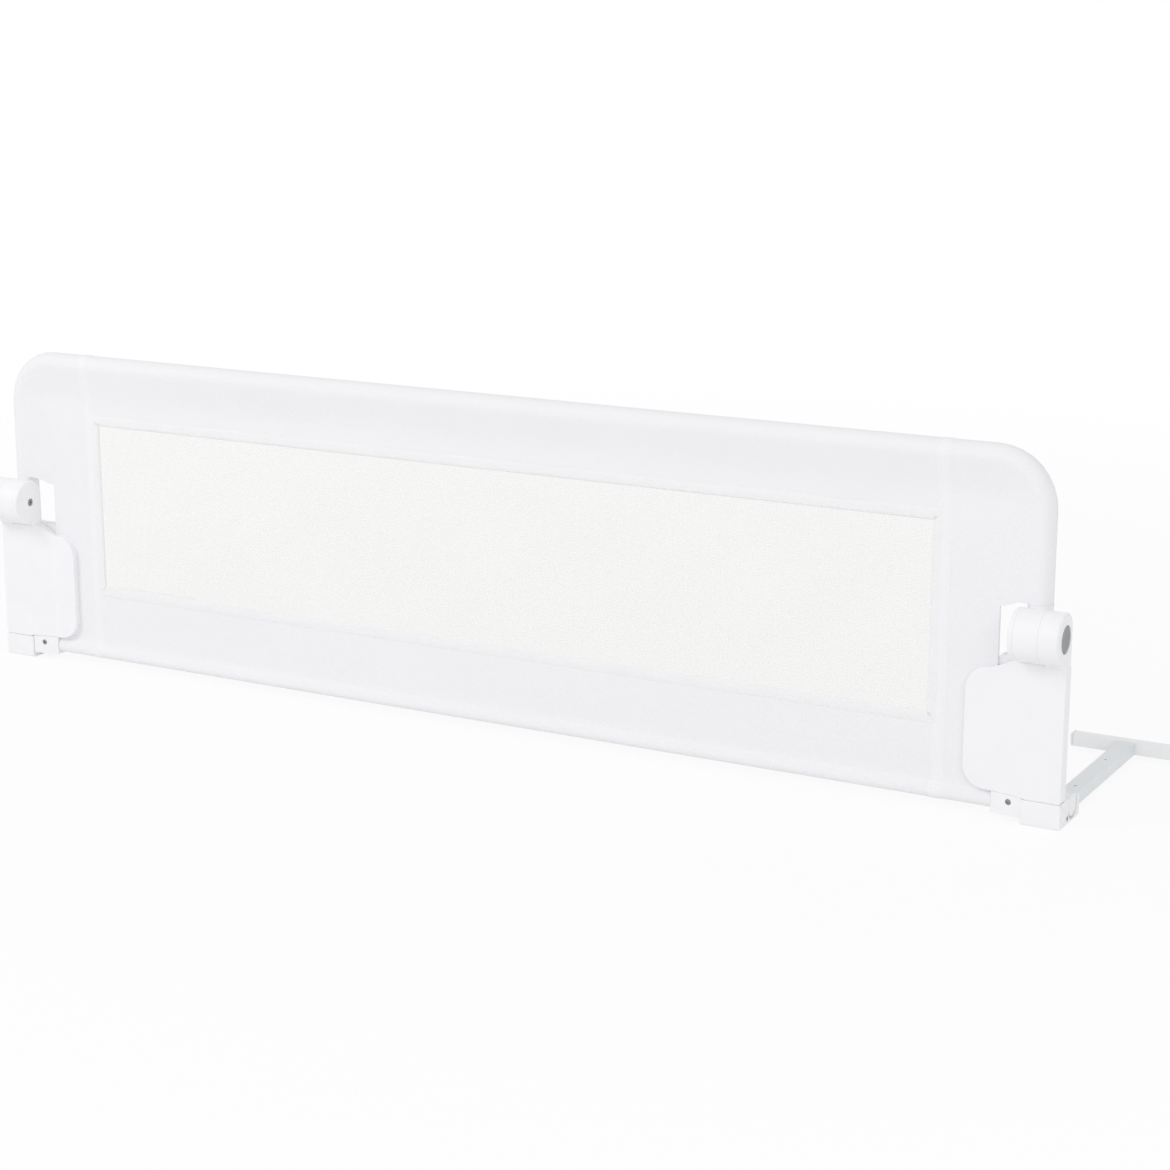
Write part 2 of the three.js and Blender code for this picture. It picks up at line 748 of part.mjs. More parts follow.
// Half of the window's net, with its gaps
function windowMesh(lowZ, highZ) {
  const halfX = seamX - bindingWidth - fitGap;
  const halfY = meshThickness / 2;
  const pitchX = (2 * halfX - meshStrand) / meshColumns;
  const pitchZ = (highZ - lowZ - meshStrand) / meshRows;
  const gaps = [];
  for (let column = 0; column < meshColumns; column += 1) {
    for (let row = 0; row < meshRows; row += 1) {
      const x = -halfX + meshStrand + column * pitchX;
      const z = lowZ + meshStrand + row * pitchZ;
      const right = x + pitchX - meshStrand;
      const top = z + pitchZ - meshStrand;
      gaps.push(boxGeometry(x, right, -halfY - overrun, halfY + overrun, z, top));
    }
  }
  return block(-halfX, halfX, -halfY, halfY, lowZ, highZ).subtract(solidOf(mergeGeometries(gaps)));
}

// Feet and base arms

// The foot closes the housing below and carries the arm between two cheeks. Its outer cheek has a
// round-bottomed opening in which the arm's end shows.
function foot() {
  const front = block(boxX, endX, housingFront, -housingFront, 0, footHeight);
  const cheeks = block(boxX, endX, 0, footRear, 0, footCheekTop);
  const swing = armEndRadius + fitGap;
  const lowX = armX - armWidth / 2 - fitGap;
  const channelFront = armPivotBack - swing;
  const floor = armPivotHeight - swing;
  const channel = block(lowX, footCheekX, channelFront, footRear + overrun, floor, railHeight);
  const opening = armEndRadius + cutWidening;
  const round = rodX(footCheekX - fitGap, endX + overrun, armPivotBack, armPivotHeight, opening);
  const above = block(
    footCheekX - fitGap, endX + overrun,
    armPivotBack - opening, armPivotBack + opening, armPivotHeight, railHeight,
  );
  const pinHole = rodX(
    boxX + housingWall, endX, armPivotBack, armPivotHeight, pivotPinRadius + fitGap, pinSides,
  );
  const screwHole = rodX(
    footCheekX, endX + overrun, footScrewBack, footScrewHeight, screwHeadRadius + fitGap, pinSides,
  );
  return front.add(cheeks).subtract(joined([channel, round, above, pinHole, screwHole]));
}

function footScrew() {
  const headX = endX - fitGap;
  return rodX(footCheekX + fitGap, headX, footScrewBack, footScrewHeight, screwHeadRadius, pinSides);
}

function armPivotPin() {
  const lowX = boxX + housingWall + fitGap;
  return rodX(lowX, endX - 2 * fitGap, armPivotBack, armPivotHeight, pivotPinRadius, pinSides);
}

// The arm's moulded end: a round eye on the pivot, a neck and a spigot inside the arm tube
function armKnuckle() {
  const lowX = armX - armWidth / 2;
  const highX = armX + armWidth / 2;
  const eye = rodX(lowX, endX - 2 * fitGap, armPivotBack, armPivotHeight, armEndRadius);
  const neckEnd = armTubeStart - fitGap;
  const neck = block(lowX, highX, armPivotBack, neckEnd, armBottom, armTop);
  const inner = armWall + fitGap;
  const spigot = block(
    lowX + inner, highX - inner, armPivotBack, armTubeStart + armSpigot, armBottom + inner, armTop - inner,
  );
  const boreLow = lowX - overrun;
  const bore = rodX(boreLow, endX, armPivotBack, armPivotHeight, pivotPinRadius + fitGap, pinSides);
  return joined([eye, neck, spigot]).subtract(bore);
}

// A rectangular tube closed at the rear by a threaded end block for the T-bar's screw
function baseArm() {
  const lowX = armX - armWidth / 2;
  const highX = armX + armWidth / 2;
  const end = armTubeEnd - fitGap;
  const tube = block(lowX, highX, armTubeStart, end, armBottom, armTop);
  const bore = block(
    lowX + armWall, highX - armWall, armTubeStart - overrun, end - armEndBlock,
    armBottom + armWall, armTop - armWall,
  );
  const holes = armHoleBacks.map((y) => rodZ(armMiddle, armTop + overrun, armX, y, armHoleRadius, pinSides));
  const threadRadius = tBarScrewRadius + fitGap;
  const thread = rodY(end - armEndBlock - overrun, end + overrun, armX, armMiddle, threadRadius);
  return tube.subtract(joined([bore, thread, ...holes]));
}

function tBar() {
  const lowX = armX - tBarLength / 2 + capFlange + fitGap;
  const highX = armX + tBarLength / 2 - capFlange - fitGap;
  const tube = block(lowX, highX, armTubeEnd, tBarRear, armBottom, armTop);
  const bore = block(
    lowX - overrun, highX + overrun, armTubeEnd + armWall, tBarRear - armWall,
    armBottom + armWall, armTop - armWall,
  );
  const holeRadius = tBarScrewRadius + fitGap;
  const screwHole = rodY(armTubeEnd - overrun, tBarRear + overrun, armX, armMiddle, holeRadius);
  return tube.subtract(bore.add(screwHole));
}

// A cap of the T-bar: a flange with a rounded lower corner and a spigot inside the tube
function tBarCap(outward) {
  const farX = armX + outward * tBarLength / 2;
  const nearX = farX - outward * capFlange;
  const spigotX = nearX - outward * capSpigot;
  const shape = new THREE.Shape();
  shape.moveTo(nearX, armTop);
  shape.lineTo(farX, armTop);
  shape.lineTo(farX, armBottom + capFlange);
  shape.quadraticCurveTo(farX, armBottom, nearX, armBottom);
  const flange = frontOutline(shape, armTubeEnd, tBarRear);
  const inner = armWall + fitGap;
  const lapX = nearX + outward * capFlange / 2;
  const spigot = block(
    Math.min(lapX, spigotX), Math.max(lapX, spigotX),
    armTubeEnd + inner, tBarRear - inner, armBottom + inner, armTop - inner,
  );
  return flange.add(spigot);
}

function tBarScrew() {
  const head = rodY(tBarRear + fitGap, railRear, armX, armMiddle, tBarScrewHead);
  const tipY = armTubeEnd - armEndBlock;
  return head.add(rodY(tipY, railRear, armX, armMiddle, tBarScrewRadius));
}

// Materials
const paintedSteel = new THREE.MeshStandardMaterial({ color: 0xe9eaec, roughness: 0.45, metalness: 0.1 });
const greySteel = new THREE.MeshStandardMaterial({ color: 0xc3c8cd, roughness: 0.5, metalness: 0.2 });
const zincSteel = new THREE.MeshStandardMaterial({ color: 0x9a9da2, roughness: 0.35, metalness: 0.9 });
const whitePlastic = new THREE.MeshStandardMaterial({ color: 0xefeff1, roughness: 0.5, metalness: 0 });
const greyPlastic = new THREE.MeshStandardMaterial({ color: 0x8f9196, roughness: 0.5, metalness: 0 });
const whiteCloth = new THREE.MeshStandardMaterial({ color: 0xeff0f2, roughness: 0.9, metalness: 0 });
const whiteMesh = new THREE.MeshStandardMaterial({ color: 0xf2f2f1, roughness: 0.9, metalness: 0 });

const rail = new THREE.Group();
rail.position.y = -footprintMiddle;

function addPiece(name, solid, material) {
  const mesh = new THREE.Mesh(geometryOf(solid), material);
  mesh.name = name;
  rail.add(mesh);
}

// A piece drawn on the right, and its mirror image on the left
function addPair(name, solid, material) {
  addPiece(`right_${name}`, solid, material);
  addPiece(`left_${name}`, mirrored(solid, 0), material);
}

addPair('housing_front', frontShell(), whitePlastic);
addPair('housing_rear', rearShell(), whitePlastic);
addPair('housing_screw_low', housingScrew(housingScrewLow), zincSteel);
addPair('housing_screw_high', housingScrew(housingScrewHigh), zincSteel);
addPair('lower_upright', lowerUpright(), zincSteel);
addPair('hinge_pin', hingePin(), zincSteel);
addPair('lock_hub', lockHub(), greyPlastic);
addPair('button_spring', buttonSpring(), zincSteel);
addPair('release_button', releaseButton(), greyPlastic);
addPair('knuckle', knuckle(), whitePlastic);
addPair('knuckle_screw', knuckleScrew(), zincSteel);

addPair('top_tube', topTube(), paintedSteel);
addPair('top_joiner', topJoiner(), zincSteel);
addPiece('top_tube_middle', topTubeMiddle(), paintedSteel);
addPiece('bottom_rail', bottomRail(), paintedSteel);
addPair('rail_connector', railConnector(), whitePlastic);
addPair('connector_screw', connectorScrew(), zincSteel);

addPair('cover_upper_end', coverUpperEnd(), whiteCloth);
addPair('cover_lower_end', coverLowerEnd(), whiteCloth);
addPiece('cover_top_band', coverTopBand(), whiteCloth);
addPiece('cover_bottom_band', coverBottomBand(), whiteCloth);
addPiece('window_binding_upper', windowBinding(foldGapHigh, windowTop), whiteCloth);
addPiece('window_binding_lower', windowBinding(foldGapLow, windowBottom), whiteCloth);
addPiece('window_mesh_upper', windowMesh(foldGapHigh, windowTop - fitGap), whiteMesh);
addPiece('window_mesh_lower', windowMesh(windowBottom + fitGap, foldGapLow), whiteMesh);

addPair('foot', foot(), whitePlastic);
addPair('foot_screw', footScrew(), zincSteel);
addPair('arm_pivot_pin', armPivotPin(), zincSteel);
addPair('arm_knuckle', armKnuckle(), whitePlastic);
addPair('base_arm', baseArm(), greySteel);
addPair('t_bar', tBar(), greySteel);
addPair('t_bar_inner_cap', tBarCap(-1), greyPlastic);
addPair('t_bar_outer_cap', tBarCap(1), greyPlastic);
addPair('t_bar_screw', tBarScrew(), zincSteel);

export default rail;
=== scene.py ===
import bmesh
import bpy
import mathutils
import numpy as np
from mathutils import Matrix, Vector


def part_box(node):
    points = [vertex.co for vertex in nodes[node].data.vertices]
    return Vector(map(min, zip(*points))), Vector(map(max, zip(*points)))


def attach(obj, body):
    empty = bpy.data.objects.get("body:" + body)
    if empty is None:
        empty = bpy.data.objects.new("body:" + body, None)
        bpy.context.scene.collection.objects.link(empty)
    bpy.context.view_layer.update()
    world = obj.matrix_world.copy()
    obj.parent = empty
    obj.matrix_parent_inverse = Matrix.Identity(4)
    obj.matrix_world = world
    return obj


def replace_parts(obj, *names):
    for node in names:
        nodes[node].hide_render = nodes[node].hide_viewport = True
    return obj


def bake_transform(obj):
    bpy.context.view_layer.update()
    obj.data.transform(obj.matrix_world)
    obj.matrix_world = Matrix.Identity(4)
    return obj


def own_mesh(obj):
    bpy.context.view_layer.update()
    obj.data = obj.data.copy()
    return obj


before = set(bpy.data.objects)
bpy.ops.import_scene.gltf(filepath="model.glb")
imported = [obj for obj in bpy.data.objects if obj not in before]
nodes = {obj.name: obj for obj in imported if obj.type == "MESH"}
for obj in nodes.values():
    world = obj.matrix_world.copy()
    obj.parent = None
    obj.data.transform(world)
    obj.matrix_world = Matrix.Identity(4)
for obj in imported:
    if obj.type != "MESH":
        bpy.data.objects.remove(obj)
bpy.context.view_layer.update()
scene = bpy.context.scene

# The camera stands about 3 m in front of the right-hand end, a little above the rail, and looks
# along it to the left, as in the photograph.
camera_data = bpy.data.cameras.new("photo_camera")
camera_data.sensor_width = 36
camera_data.lens = 77.77
camera = bpy.data.objects.new("photo_camera", camera_data)
camera.location = (1.57381, -2.67337, 0.92701)
camera.rotation_euler = np.radians((76.05, 0, 29.2))
scene.collection.objects.link(camera)
scene.camera = camera

# The frame: steel tubes, white powder coat outside and bare zinc plate where they are hidden. The
# bent end tubes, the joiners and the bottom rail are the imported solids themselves.
MM = 0.001
frame_low, frame_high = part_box("top_tube_middle")
rail_y = (frame_low.y + frame_high.y) / 2


def box_mm(node):
    """A CAD node's lowest and highest corners in millimetres, with the middle plane at y = 0."""
    low, high = (np.array(corner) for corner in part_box(node))
    shift = np.array((0, rail_y, 0))
    return (low - shift) / MM, (high - shift) / MM


def linear(colour):
    """sRGB hex as linear colour: c / 12.92 up to 0.04045, else ((c + 0.055) / 1.055) ** 2.4."""
    channels = np.array([int(colour[i : i + 2], 16) for i in (0, 2, 4)]) / 255
    curved = ((channels + 0.055) / 1.055) ** 2.4
    return (*np.where(channels <= 0.04045, channels / 12.92, curved), 1.0)


def add_node(tree, kind, settings=None):
    """Adds a node. Its settings are properties, values of its sockets, or what feeds them: another
    node's socket, or another node for its first socket."""
    made = tree.nodes.new("ShaderNode" + kind)
    for name, value in (settings or {}).items():
        value = value.outputs[0] if isinstance(value, bpy.types.Node) else value
        if isinstance(value, bpy.types.NodeSocket):
            tree.links.new(value, made.inputs[name])
        elif hasattr(made, str(name)):
            setattr(made, name, value)
        else:
            made.inputs[name].default_value = value
    return made


def maths(tree, operation, *inputs):
    """A maths node on its inputs."""
    return add_node(tree, "Math", {"operation": operation, **dict(enumerate(inputs))})


def ranged(tree, source, low, high, start=0.0, end=1.0):
    """What runs from start to end, mapped to run from low to high."""
    places = {"From Min": start, "From Max": end, "To Min": low, "To Max": high}
    return add_node(tree, "MapRange", {"Value": source, **places})


def new_material(name, roughness, settings=None, source="Object"):
    """A material with one Principled shader; gives it with its tree, shader and coordinates."""
    material = bpy.data.materials.new(name)
    material.use_nodes = True
    tree = material.node_tree
    shader = tree.nodes["Principled BSDF"]
    shader.inputs["Roughness"].default_value = roughness
    for socket, value in (settings or {}).items():
        shader.inputs[socket].default_value = value
    return material, tree, shader, add_node(tree, "TexCoord").outputs[source]


def noise(tree, coordinates, size_mm, detail):
    """Noise with patches of a size."""
    settings = {"Scale": 1 / (size_mm * MM), "Detail": detail, "Vector": coordinates}
    return add_node(tree, "TexNoise", settings)


def mixed_colour(tree, share, first, second):
    """A share of the way from the first colour to the second."""
    return add_node(tree, "Mix", {"data_type": "RGBA", 0: share, 6: first, 7: second}).outputs[2]


def mottled(tree, shader, coordinates, size_mm, darker, paler):
    """Base colour that drifts between two near tones over patches of a size."""
    patches = noise(tree, coordinates, size_mm, 3.0)
    tones = mixed_colour(tree, patches, linear(darker), linear(paler))
    tree.links.new(tones, shader.inputs["Base Color"])
    return patches


def relief(tree, shader, height, depth_mm):
    """Turns a height from 0 to 1 into relief of a depth."""
    bump = add_node(tree, "Bump", {"Distance": depth_mm * MM, "Height": height})
    tree.links.new(bump.outputs["Normal"], shader.inputs["Normal"])


def dress(names, finish):
    """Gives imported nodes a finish, which is a material with the record's slot for it."""
    for name in names:
        nodes[name].data.materials.clear()
        nodes[name].data.materials.append(finish[0])


def both_sides(*names):
    """The right-hand and left-hand node of each name."""
    return [f"{side}_{name}" for name in names for side in ("right", "left")]


def powder_coat(name, darker, paler, roughness):
    """Baked powder paint on steel tube: an even satin with an orange peel of about 1.5 mm."""
    material, tree, shader, coordinates = new_material(name, roughness, {"IOR": 1.5})
    mottled(tree, shader, coordinates, 60, darker, paler)
    relief(tree, shader, noise(tree, coordinates, 1.5, 1.0), 0.03)
    return material


def zinc_plate(name, darker, paler):
    """Zinc-plated steel as on screws and pins: grey metal, uneven in shine over a few millimetres."""
    material, tree, shader, coordinates = new_material(name, 0.35, {"Metallic": 1.0})
    patches = mottled(tree, shader, coordinates, 4, darker, paler)
    tree.links.new(ranged(tree, patches, 0.28, 0.46).outputs[0], shader.inputs["Roughness"])
    relief(tree, shader, patches, 0.02)
    return material


white_coat = powder_coat("white_powder_coat", "e4e5e7", "ececee", 0.42), "white_steel"
bright_zinc = zinc_plate("zinc_plated_steel", "8d9096", "a9abaf"), "zinc_steel"
dress(["top_tube_middle", "bottom_rail", *both_sides("top_tube")], white_coat)
dress(both_sides("top_joiner", "lower_upright", "arm_pivot_pin"), bright_zinc)

# The cover: plain woven polyester, sewn into a double panel with sleeves over the top tube, the
# corners and the bottom rail. Two lapped seams beside the window run over its full height, and the
# cloth is drawn flat between the tubes with a few soft ripples.
tube_radius = (frame_high.z - frame_low.z) / 2 / MM
top_z = (frame_high.z + frame_low.z) / 2 / MM
upright_x = box_mm("right_top_tube")[1][0] - tube_radius
hem_low, hem_high = box_mm("bottom_rail")
hem_z = (hem_low[2] + hem_high[2]) / 2
bend = 55.0
corner_x, corner_z = upright_x - bend, top_z - bend
sleeve_radius, sleeve_reach = tube_radius + 1.5, 44.0
hem_radius, hem_reach = (hem_high[2] - hem_low[2]) / 2 + 1.3, 12.5
flat_half = 1.5
tolerance = 0.01
cover_end_x = box_mm("right_cover_lower_end")[1][0]
notch_z = box_mm("right_cover_upper_end")[0][2] + 31.55
seam_x = 600.0
window_x, window_low, window_high = 593.0, 102.0, 335.0


def stations(marks, step):
    """Places through all marks, evenly spaced between neighbours at a step or less."""
    runs = [
        np.linspace(a, b, max(1, int(np.ceil((b - a) / step))) + 1)[:-1]
        for a, b in zip(marks[:-1], marks[1:])
    ]
    return np.concatenate([*runs, marks[-1:]])


def grid_quads(rows, columns, wrap=False):
    """Quads between neighbours of a rows by columns grid; wrap joins the last column to the first."""
    across = columns if wrap else columns - 1
    row, column = np.meshgrid(np.arange(rows - 1), np.arange(across), indexing="ij")
    here, beside = row * columns + column, row * columns + (column + 1) % columns
    return np.stack([here, beside, beside + columns, here + columns], -1).reshape(-1, 4)


def contact(radius, reach):
    """Angle at which the straight cloth from the flat at the reach touches a tube's circle."""
    return np.arctan2(flat_half, reach) + np.arccos(radius / np.hypot(flat_half, reach))


def drape(distance, radius, reach, ease):
    """Rise over the flat at a distance from a tube: the tangent line, eased into zero at the reach
    by a soft maximum, ease * log(1 + exp(line / ease))."""
    turn = contact(radius, reach)
    start, rise = radius * np.cos(turn), radius * np.sin(turn) - flat_half
    line = rise * (reach - distance) / (reach - start)
    return ease * np.logaddexp(0, line / ease)


def from_frame(x, z):
    """Distance inwards from the frame tube: bend radius less the distance to the bend's centre in
    the corners, else the lesser of the distances to the top tube and the nearer upright."""
    out_x, out_z = np.abs(x) - corner_x, z - corner_z
    straight = np.minimum(upright_x - np.abs(x), top_z - z)
    return np.where((out_x > 0) & (out_z > 0), bend - np.hypot(out_x, out_z), straight)


def step_up(value, low, high):
    """Smooth step from 0 at low to 1 at high: 3 t ** 2 - 2 t ** 3."""
    t = np.clip((value - low) / (high - low), 0, 1)
    return t * t * (3 - 2 * t)


def ripple(x, z, face):
    """Soft unevenness of the drawn cloth: a sum of seeded plane waves 90 to 340 mm long, with
    puckers of 19 mm along the seams that fade within 14 mm of them. It is zero at the window."""
    chance = np.random.default_rng(7 if face < 0 else 8)
    waves = np.zeros_like(x)
    for length in (340, 260, 210, 150, 120, 90):
        turn, phase = chance.uniform(0, 2 * np.pi, 2)
        along = (x * np.cos(turn) + z * np.sin(turn)) * 2 * np.pi / length
        waves += length / 340 * 0.42 * np.sin(along + phase)
    beside = np.abs(np.abs(x) - seam_x)
    pucker = 0.16 * np.sin(z * 2 * np.pi / 19 + x / 9) * np.exp(-beside / 14)
    above = np.maximum(window_low - z, z - window_high)
    gap = np.maximum(above, np.abs(x) - window_x)
    across = 0.2 * np.sin(x * 2 * np.pi / 23 + z / 11) * np.exp(-np.abs(above) / 16)
    return (waves + pucker + across) * step_up(gap, 2, 34)


def seam_rise(x):
    """Lapped seam: a band 12 mm wide beside the window stands 0.7 mm proud, with soft edges and a
    slight hollow along each row of stitches."""
    beside = np.abs(np.abs(x) - seam_x)
    hollow = 0.25 * np.exp(-(((beside - 4) / 0.9) ** 2))
    return 0.7 * (1 - step_up(beside, 5, 7.5)) - hollow


def cloth_half(x, z, face):
    """Height of the cloth's outer face over the middle plane, away from the tubes' circles."""
    drawn = drape(from_frame(x, z), sleeve_radius, sleeve_reach, 1.6)
    hemmed = drape(z - hem_z, hem_radius, hem_reach, 0.9)
    loose = step_up(from_frame(x, z), 4, 50) * step_up(z - hem_z, 5, 40)
    return flat_half + drawn + hemmed + seam_rise(x) + ripple(x, z, face) * (0.25 + 0.75 * loose)


def sleeve(places, inward, radius, reach, flat_steps, round_steps):
    """Cloth round a tube: at each place on the centreline a section that comes from the reach to
    the tangent point in front, goes round the circle, and returns to the reach behind. Its UVs
    unroll the circle outwards from the flat, in front and behind alike."""
    turn = contact(radius, reach)
    straight = np.linspace(reach, radius * np.cos(turn), flat_steps + 1)[:-1]
    around = np.linspace(turn, 2 * np.pi - turn, round_steps + 1)
    depth = np.concatenate([straight, radius * np.cos(around), straight[::-1]])
    face = np.concatenate([-np.ones(flat_steps), -np.sign(np.sin(around)), np.ones(flat_steps)])
    x = places[:, :1] + inward[:, :1] * depth
    z = places[:, 1:] + inward[:, 1:] * depth
    half = np.where(face < 0, cloth_half(x, z, -1), cloth_half(x, z, 1))
    y = face * half
    on_tube = slice(flat_steps, flat_steps + round_steps + 1)
    lift = seam_rise(x[:, on_tube]) + 0.15 * ripple(x[:, on_tube], z[:, on_tube], 1)
    out = radius + lift
    x[:, on_tube] = places[:, :1] + inward[:, :1] * out * np.cos(around)
    z[:, on_tube] = places[:, 1:] + inward[:, 1:] * out * np.cos(around)
    y[:, on_tube] = -out * np.sin(around)
    unrolled = depth.copy()
    unrolled[on_tube] = radius * (np.cos(turn) + turn - np.minimum(around, 2 * np.pi - around))
    uv = (places[:, None, :] + inward[:, None, :] * unrolled[None, :, None]).reshape(-1, 2)
    count, across = x.shape
    order = np.arange(count * across).reshape(count, across)
    front = np.broadcast_to(np.arange(across) <= across // 2, (count, across)).ravel()
    points = np.stack([x, y, z], -1).reshape(-1, 3)
    return points, uv, grid_quads(count, across), order[:, ::-1].ravel(), front


def two_faced(x, z, quads):
    """A patch in front and behind, at the cloth's height over x and z: its points, UVs and quads,
    each point's partner on the other face, and whether it is in front."""
    faces = [(x.ravel(), sign * cloth_half(x, z, sign).ravel(), z.ravel()) for sign in (-1, 1)]
    points = np.concatenate([np.stack(face, -1) for face in faces])
    count = x.size
    partner = np.concatenate([np.arange(count) + count, np.arange(count)])
    uv = np.tile(np.stack([x.ravel(), z.ravel()], -1), (2, 1))
    both = np.concatenate([quads, quads[:, ::-1] + count])
    return points, uv, both, partner, np.arange(2 * count) < count


def panel(x_marks, z_marks, keep):
    """The flat cloth: a grid over x and z, with only the quads whose middle is kept."""
    x, z = np.meshgrid(x_marks, z_marks, indexing="xy")
    quads = grid_quads(len(z_marks), len(x_marks))
    middle_x, middle_z = x.ravel()[quads].mean(1), z.ravel()[quads].mean(1)
    return two_faced(x, z, quads[keep(middle_x, middle_z)])


def corner_fan(side, radii, turns):
    """The flat quarter disc inside a bent sleeve, on rings about the bend's centre."""
    radius, turn = np.meshgrid(radii, turns, indexing="ij")
    x, z = side * (corner_x + radius * np.cos(turn)), corner_z + radius * np.sin(turn)
    return two_faced(x, z, grid_quads(len(radii), len(turns)))


def sewn(patches):
    """Joins patches at their common points, and closes every open edge of the front face with a
    quad to the same edge of the back face."""
    starts = np.cumsum([0, *(len(p[0]) for p in patches)])[:-1]
    points, uv = (np.concatenate([p[i] for p in patches]) for i in (0, 1))
    quads = np.concatenate([p[2] + start for p, start in zip(patches, starts)])
    partner = np.concatenate([p[3] + start for p, start in zip(patches, starts)])
    front = np.concatenate([p[4] for p in patches])
    _, first, merged = np.unique(
        np.round(points * 20 + 0.137), axis=0, return_index=True, return_inverse=True
    )
    merged = merged.ravel()
    quads, partner, front = merged[quads], merged[partner[first]], front[first]
    sides = np.stack([quads, np.roll(quads, -1, 1)], -1).reshape(-1, 2)
    sides = sides[sides[:, 0] != sides[:, 1]]
    _, place, uses = np.unique(np.sort(sides, 1), axis=0, return_index=True, return_counts=True)
    rim = sides[place[uses == 1]]
    rim = rim[front[rim].all(1)]
    closing = np.column_stack([rim[:, ::-1], partner[rim]])
    faces = [list(dict.fromkeys(face)) for face in [*quads.tolist(), *closing.tolist()]]
    return points[first], uv[first], [face for face in faces if len(face) > 2]


def finish_piece(mesh, work, finish, replaced, sharp=35):
    """Puts the worked shape into the mesh, shades it smooth up to an angle in degrees, and makes it
    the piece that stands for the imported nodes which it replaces."""
    work.to_mesh(mesh)
    work.free()
    mesh.polygons.foreach_set("use_smooth", np.ones(len(mesh.polygons), bool))
    mesh.set_sharp_from_angle(angle=np.radians(sharp))
    material, slot = finish
    mesh.materials.append(material)
    piece = bpy.data.objects.new(mesh.name, mesh)
    scene.collection.objects.link(piece)
    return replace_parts(piece, *replaced)


def make_piece(name, points, faces, finish, replaced, uv=None, sharp=35):
    """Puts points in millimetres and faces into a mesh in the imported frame, merges equal points
    and turns the faces outwards."""
    mesh = bpy.data.meshes.new(name)
    mesh.from_pydata((points * MM + (0, rail_y, 0)).tolist(), [], faces)
    if uv is not None:
        corner = np.zeros(len(mesh.loops), int)
        mesh.loops.foreach_get("vertex_index", corner)
        mesh.uv_layers.new(name="cloth").data.foreach_set("uv", (uv[corner] * MM).ravel())
    work = bmesh.new()
    work.from_mesh(mesh)
    bmesh.ops.remove_doubles(work, verts=work.verts, dist=0.01 * MM)
    bmesh.ops.recalc_face_normals(work, faces=work.faces)
    return finish_piece(mesh, work, finish, replaced, sharp)


def cloth_piece(name, points, faces, finish, replaced=(), uv=None, sharp=60):
    """A piece of cloth, with its object's placement put into its points."""
    piece = make_piece(name, points, faces, finish, replaced, uv, sharp)
    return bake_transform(piece)


fan_radii = np.array([0, 4.5, cover_end_x - corner_x, bend - sleeve_reach])
fan_turns = np.linspace(0, np.pi / 2, 9)
side_marks = [seam_x + m for m in (-7.5, -5, -4, -3, 0, 3, 4, 5, 7.5)]
right_marks = sorted([window_x, *side_marks[1:], *(corner_x + fan_radii)])
x_marks = stations([-m for m in right_marks[::-1]] + right_marks, 6)
z_marks = stations([hem_z + hem_reach, window_low, notch_z, window_high, *(corner_z + fan_radii)], 6)
inner_x = corner_x + fan_radii[-1]


def on_cover(x, z):
    """Where the flat cloth is: inside the sleeves, beside the notches, and not in the window."""
    wide = np.where(z > corner_z, corner_x, np.where(z > notch_z, inner_x, cover_end_x))
    window = (np.abs(x) < window_x) & (z > window_low) & (z < window_high)
    return (np.abs(x) < wide) & ~window


upright_z = z_marks[(z_marks >= notch_z - tolerance) & (z_marks <= corner_z + tolerance)]
across_x = x_marks[np.abs(x_marks) <= corner_x + tolerance][::-1]
turned = np.stack([np.cos(fan_turns), np.sin(fan_turns)], -1)
right_up = np.column_stack([np.full_like(upright_z, upright_x), upright_z])
right_bend = (corner_x, corner_z) + bend * turned[1:-1]
over_top = np.column_stack([across_x, np.full_like(across_x, top_z)])
right_path = np.concatenate([right_up, right_bend])
right_pull = np.concatenate([np.tile((-1.0, 0.0), (len(right_up), 1)), -turned[1:-1]])
path = np.concatenate([right_path, over_top, (right_path * (-1, 1))[::-1]])
top_pull = np.tile((0.0, -1.0), (len(over_top), 1))
pull = np.concatenate([right_pull, top_pull, (right_pull * (-1, 1))[::-1]])
hem_x = x_marks[np.abs(x_marks) <= cover_end_x + tolerance]
hem_path = np.column_stack([hem_x, np.full_like(hem_x, hem_z)])
hem_pull = np.tile((0.0, 1.0), (len(hem_x), 1))


def pulled_down(points):
    """The notch's top edge slants: its height falls by 8.5 mm at the notch's inner corner, and by
    less outwards, inwards, and away from the edge."""
    out, over = np.abs(points[:, 0]) - cover_end_x, points[:, 2] - notch_z
    beside = step_up(out, -45, 0) * (1 - step_up(out, 0, 28))
    near = step_up(over, -60, 0) * (1 - step_up(over, 0, 40))
    return points - np.outer(8.5 * beside * near, (0, 0, 1))


cover_points, cover_uv, cover_faces = sewn(
    [
        sleeve(path, pull, sleeve_radius, sleeve_reach, 9, 24),
        sleeve(hem_path, hem_pull, hem_radius, hem_reach, 4, 16),
        panel(x_marks, z_marks, on_cover),
        corner_fan(1, fan_radii, fan_turns),
        corner_fan(-1, fan_radii, fan_turns),
    ]
)
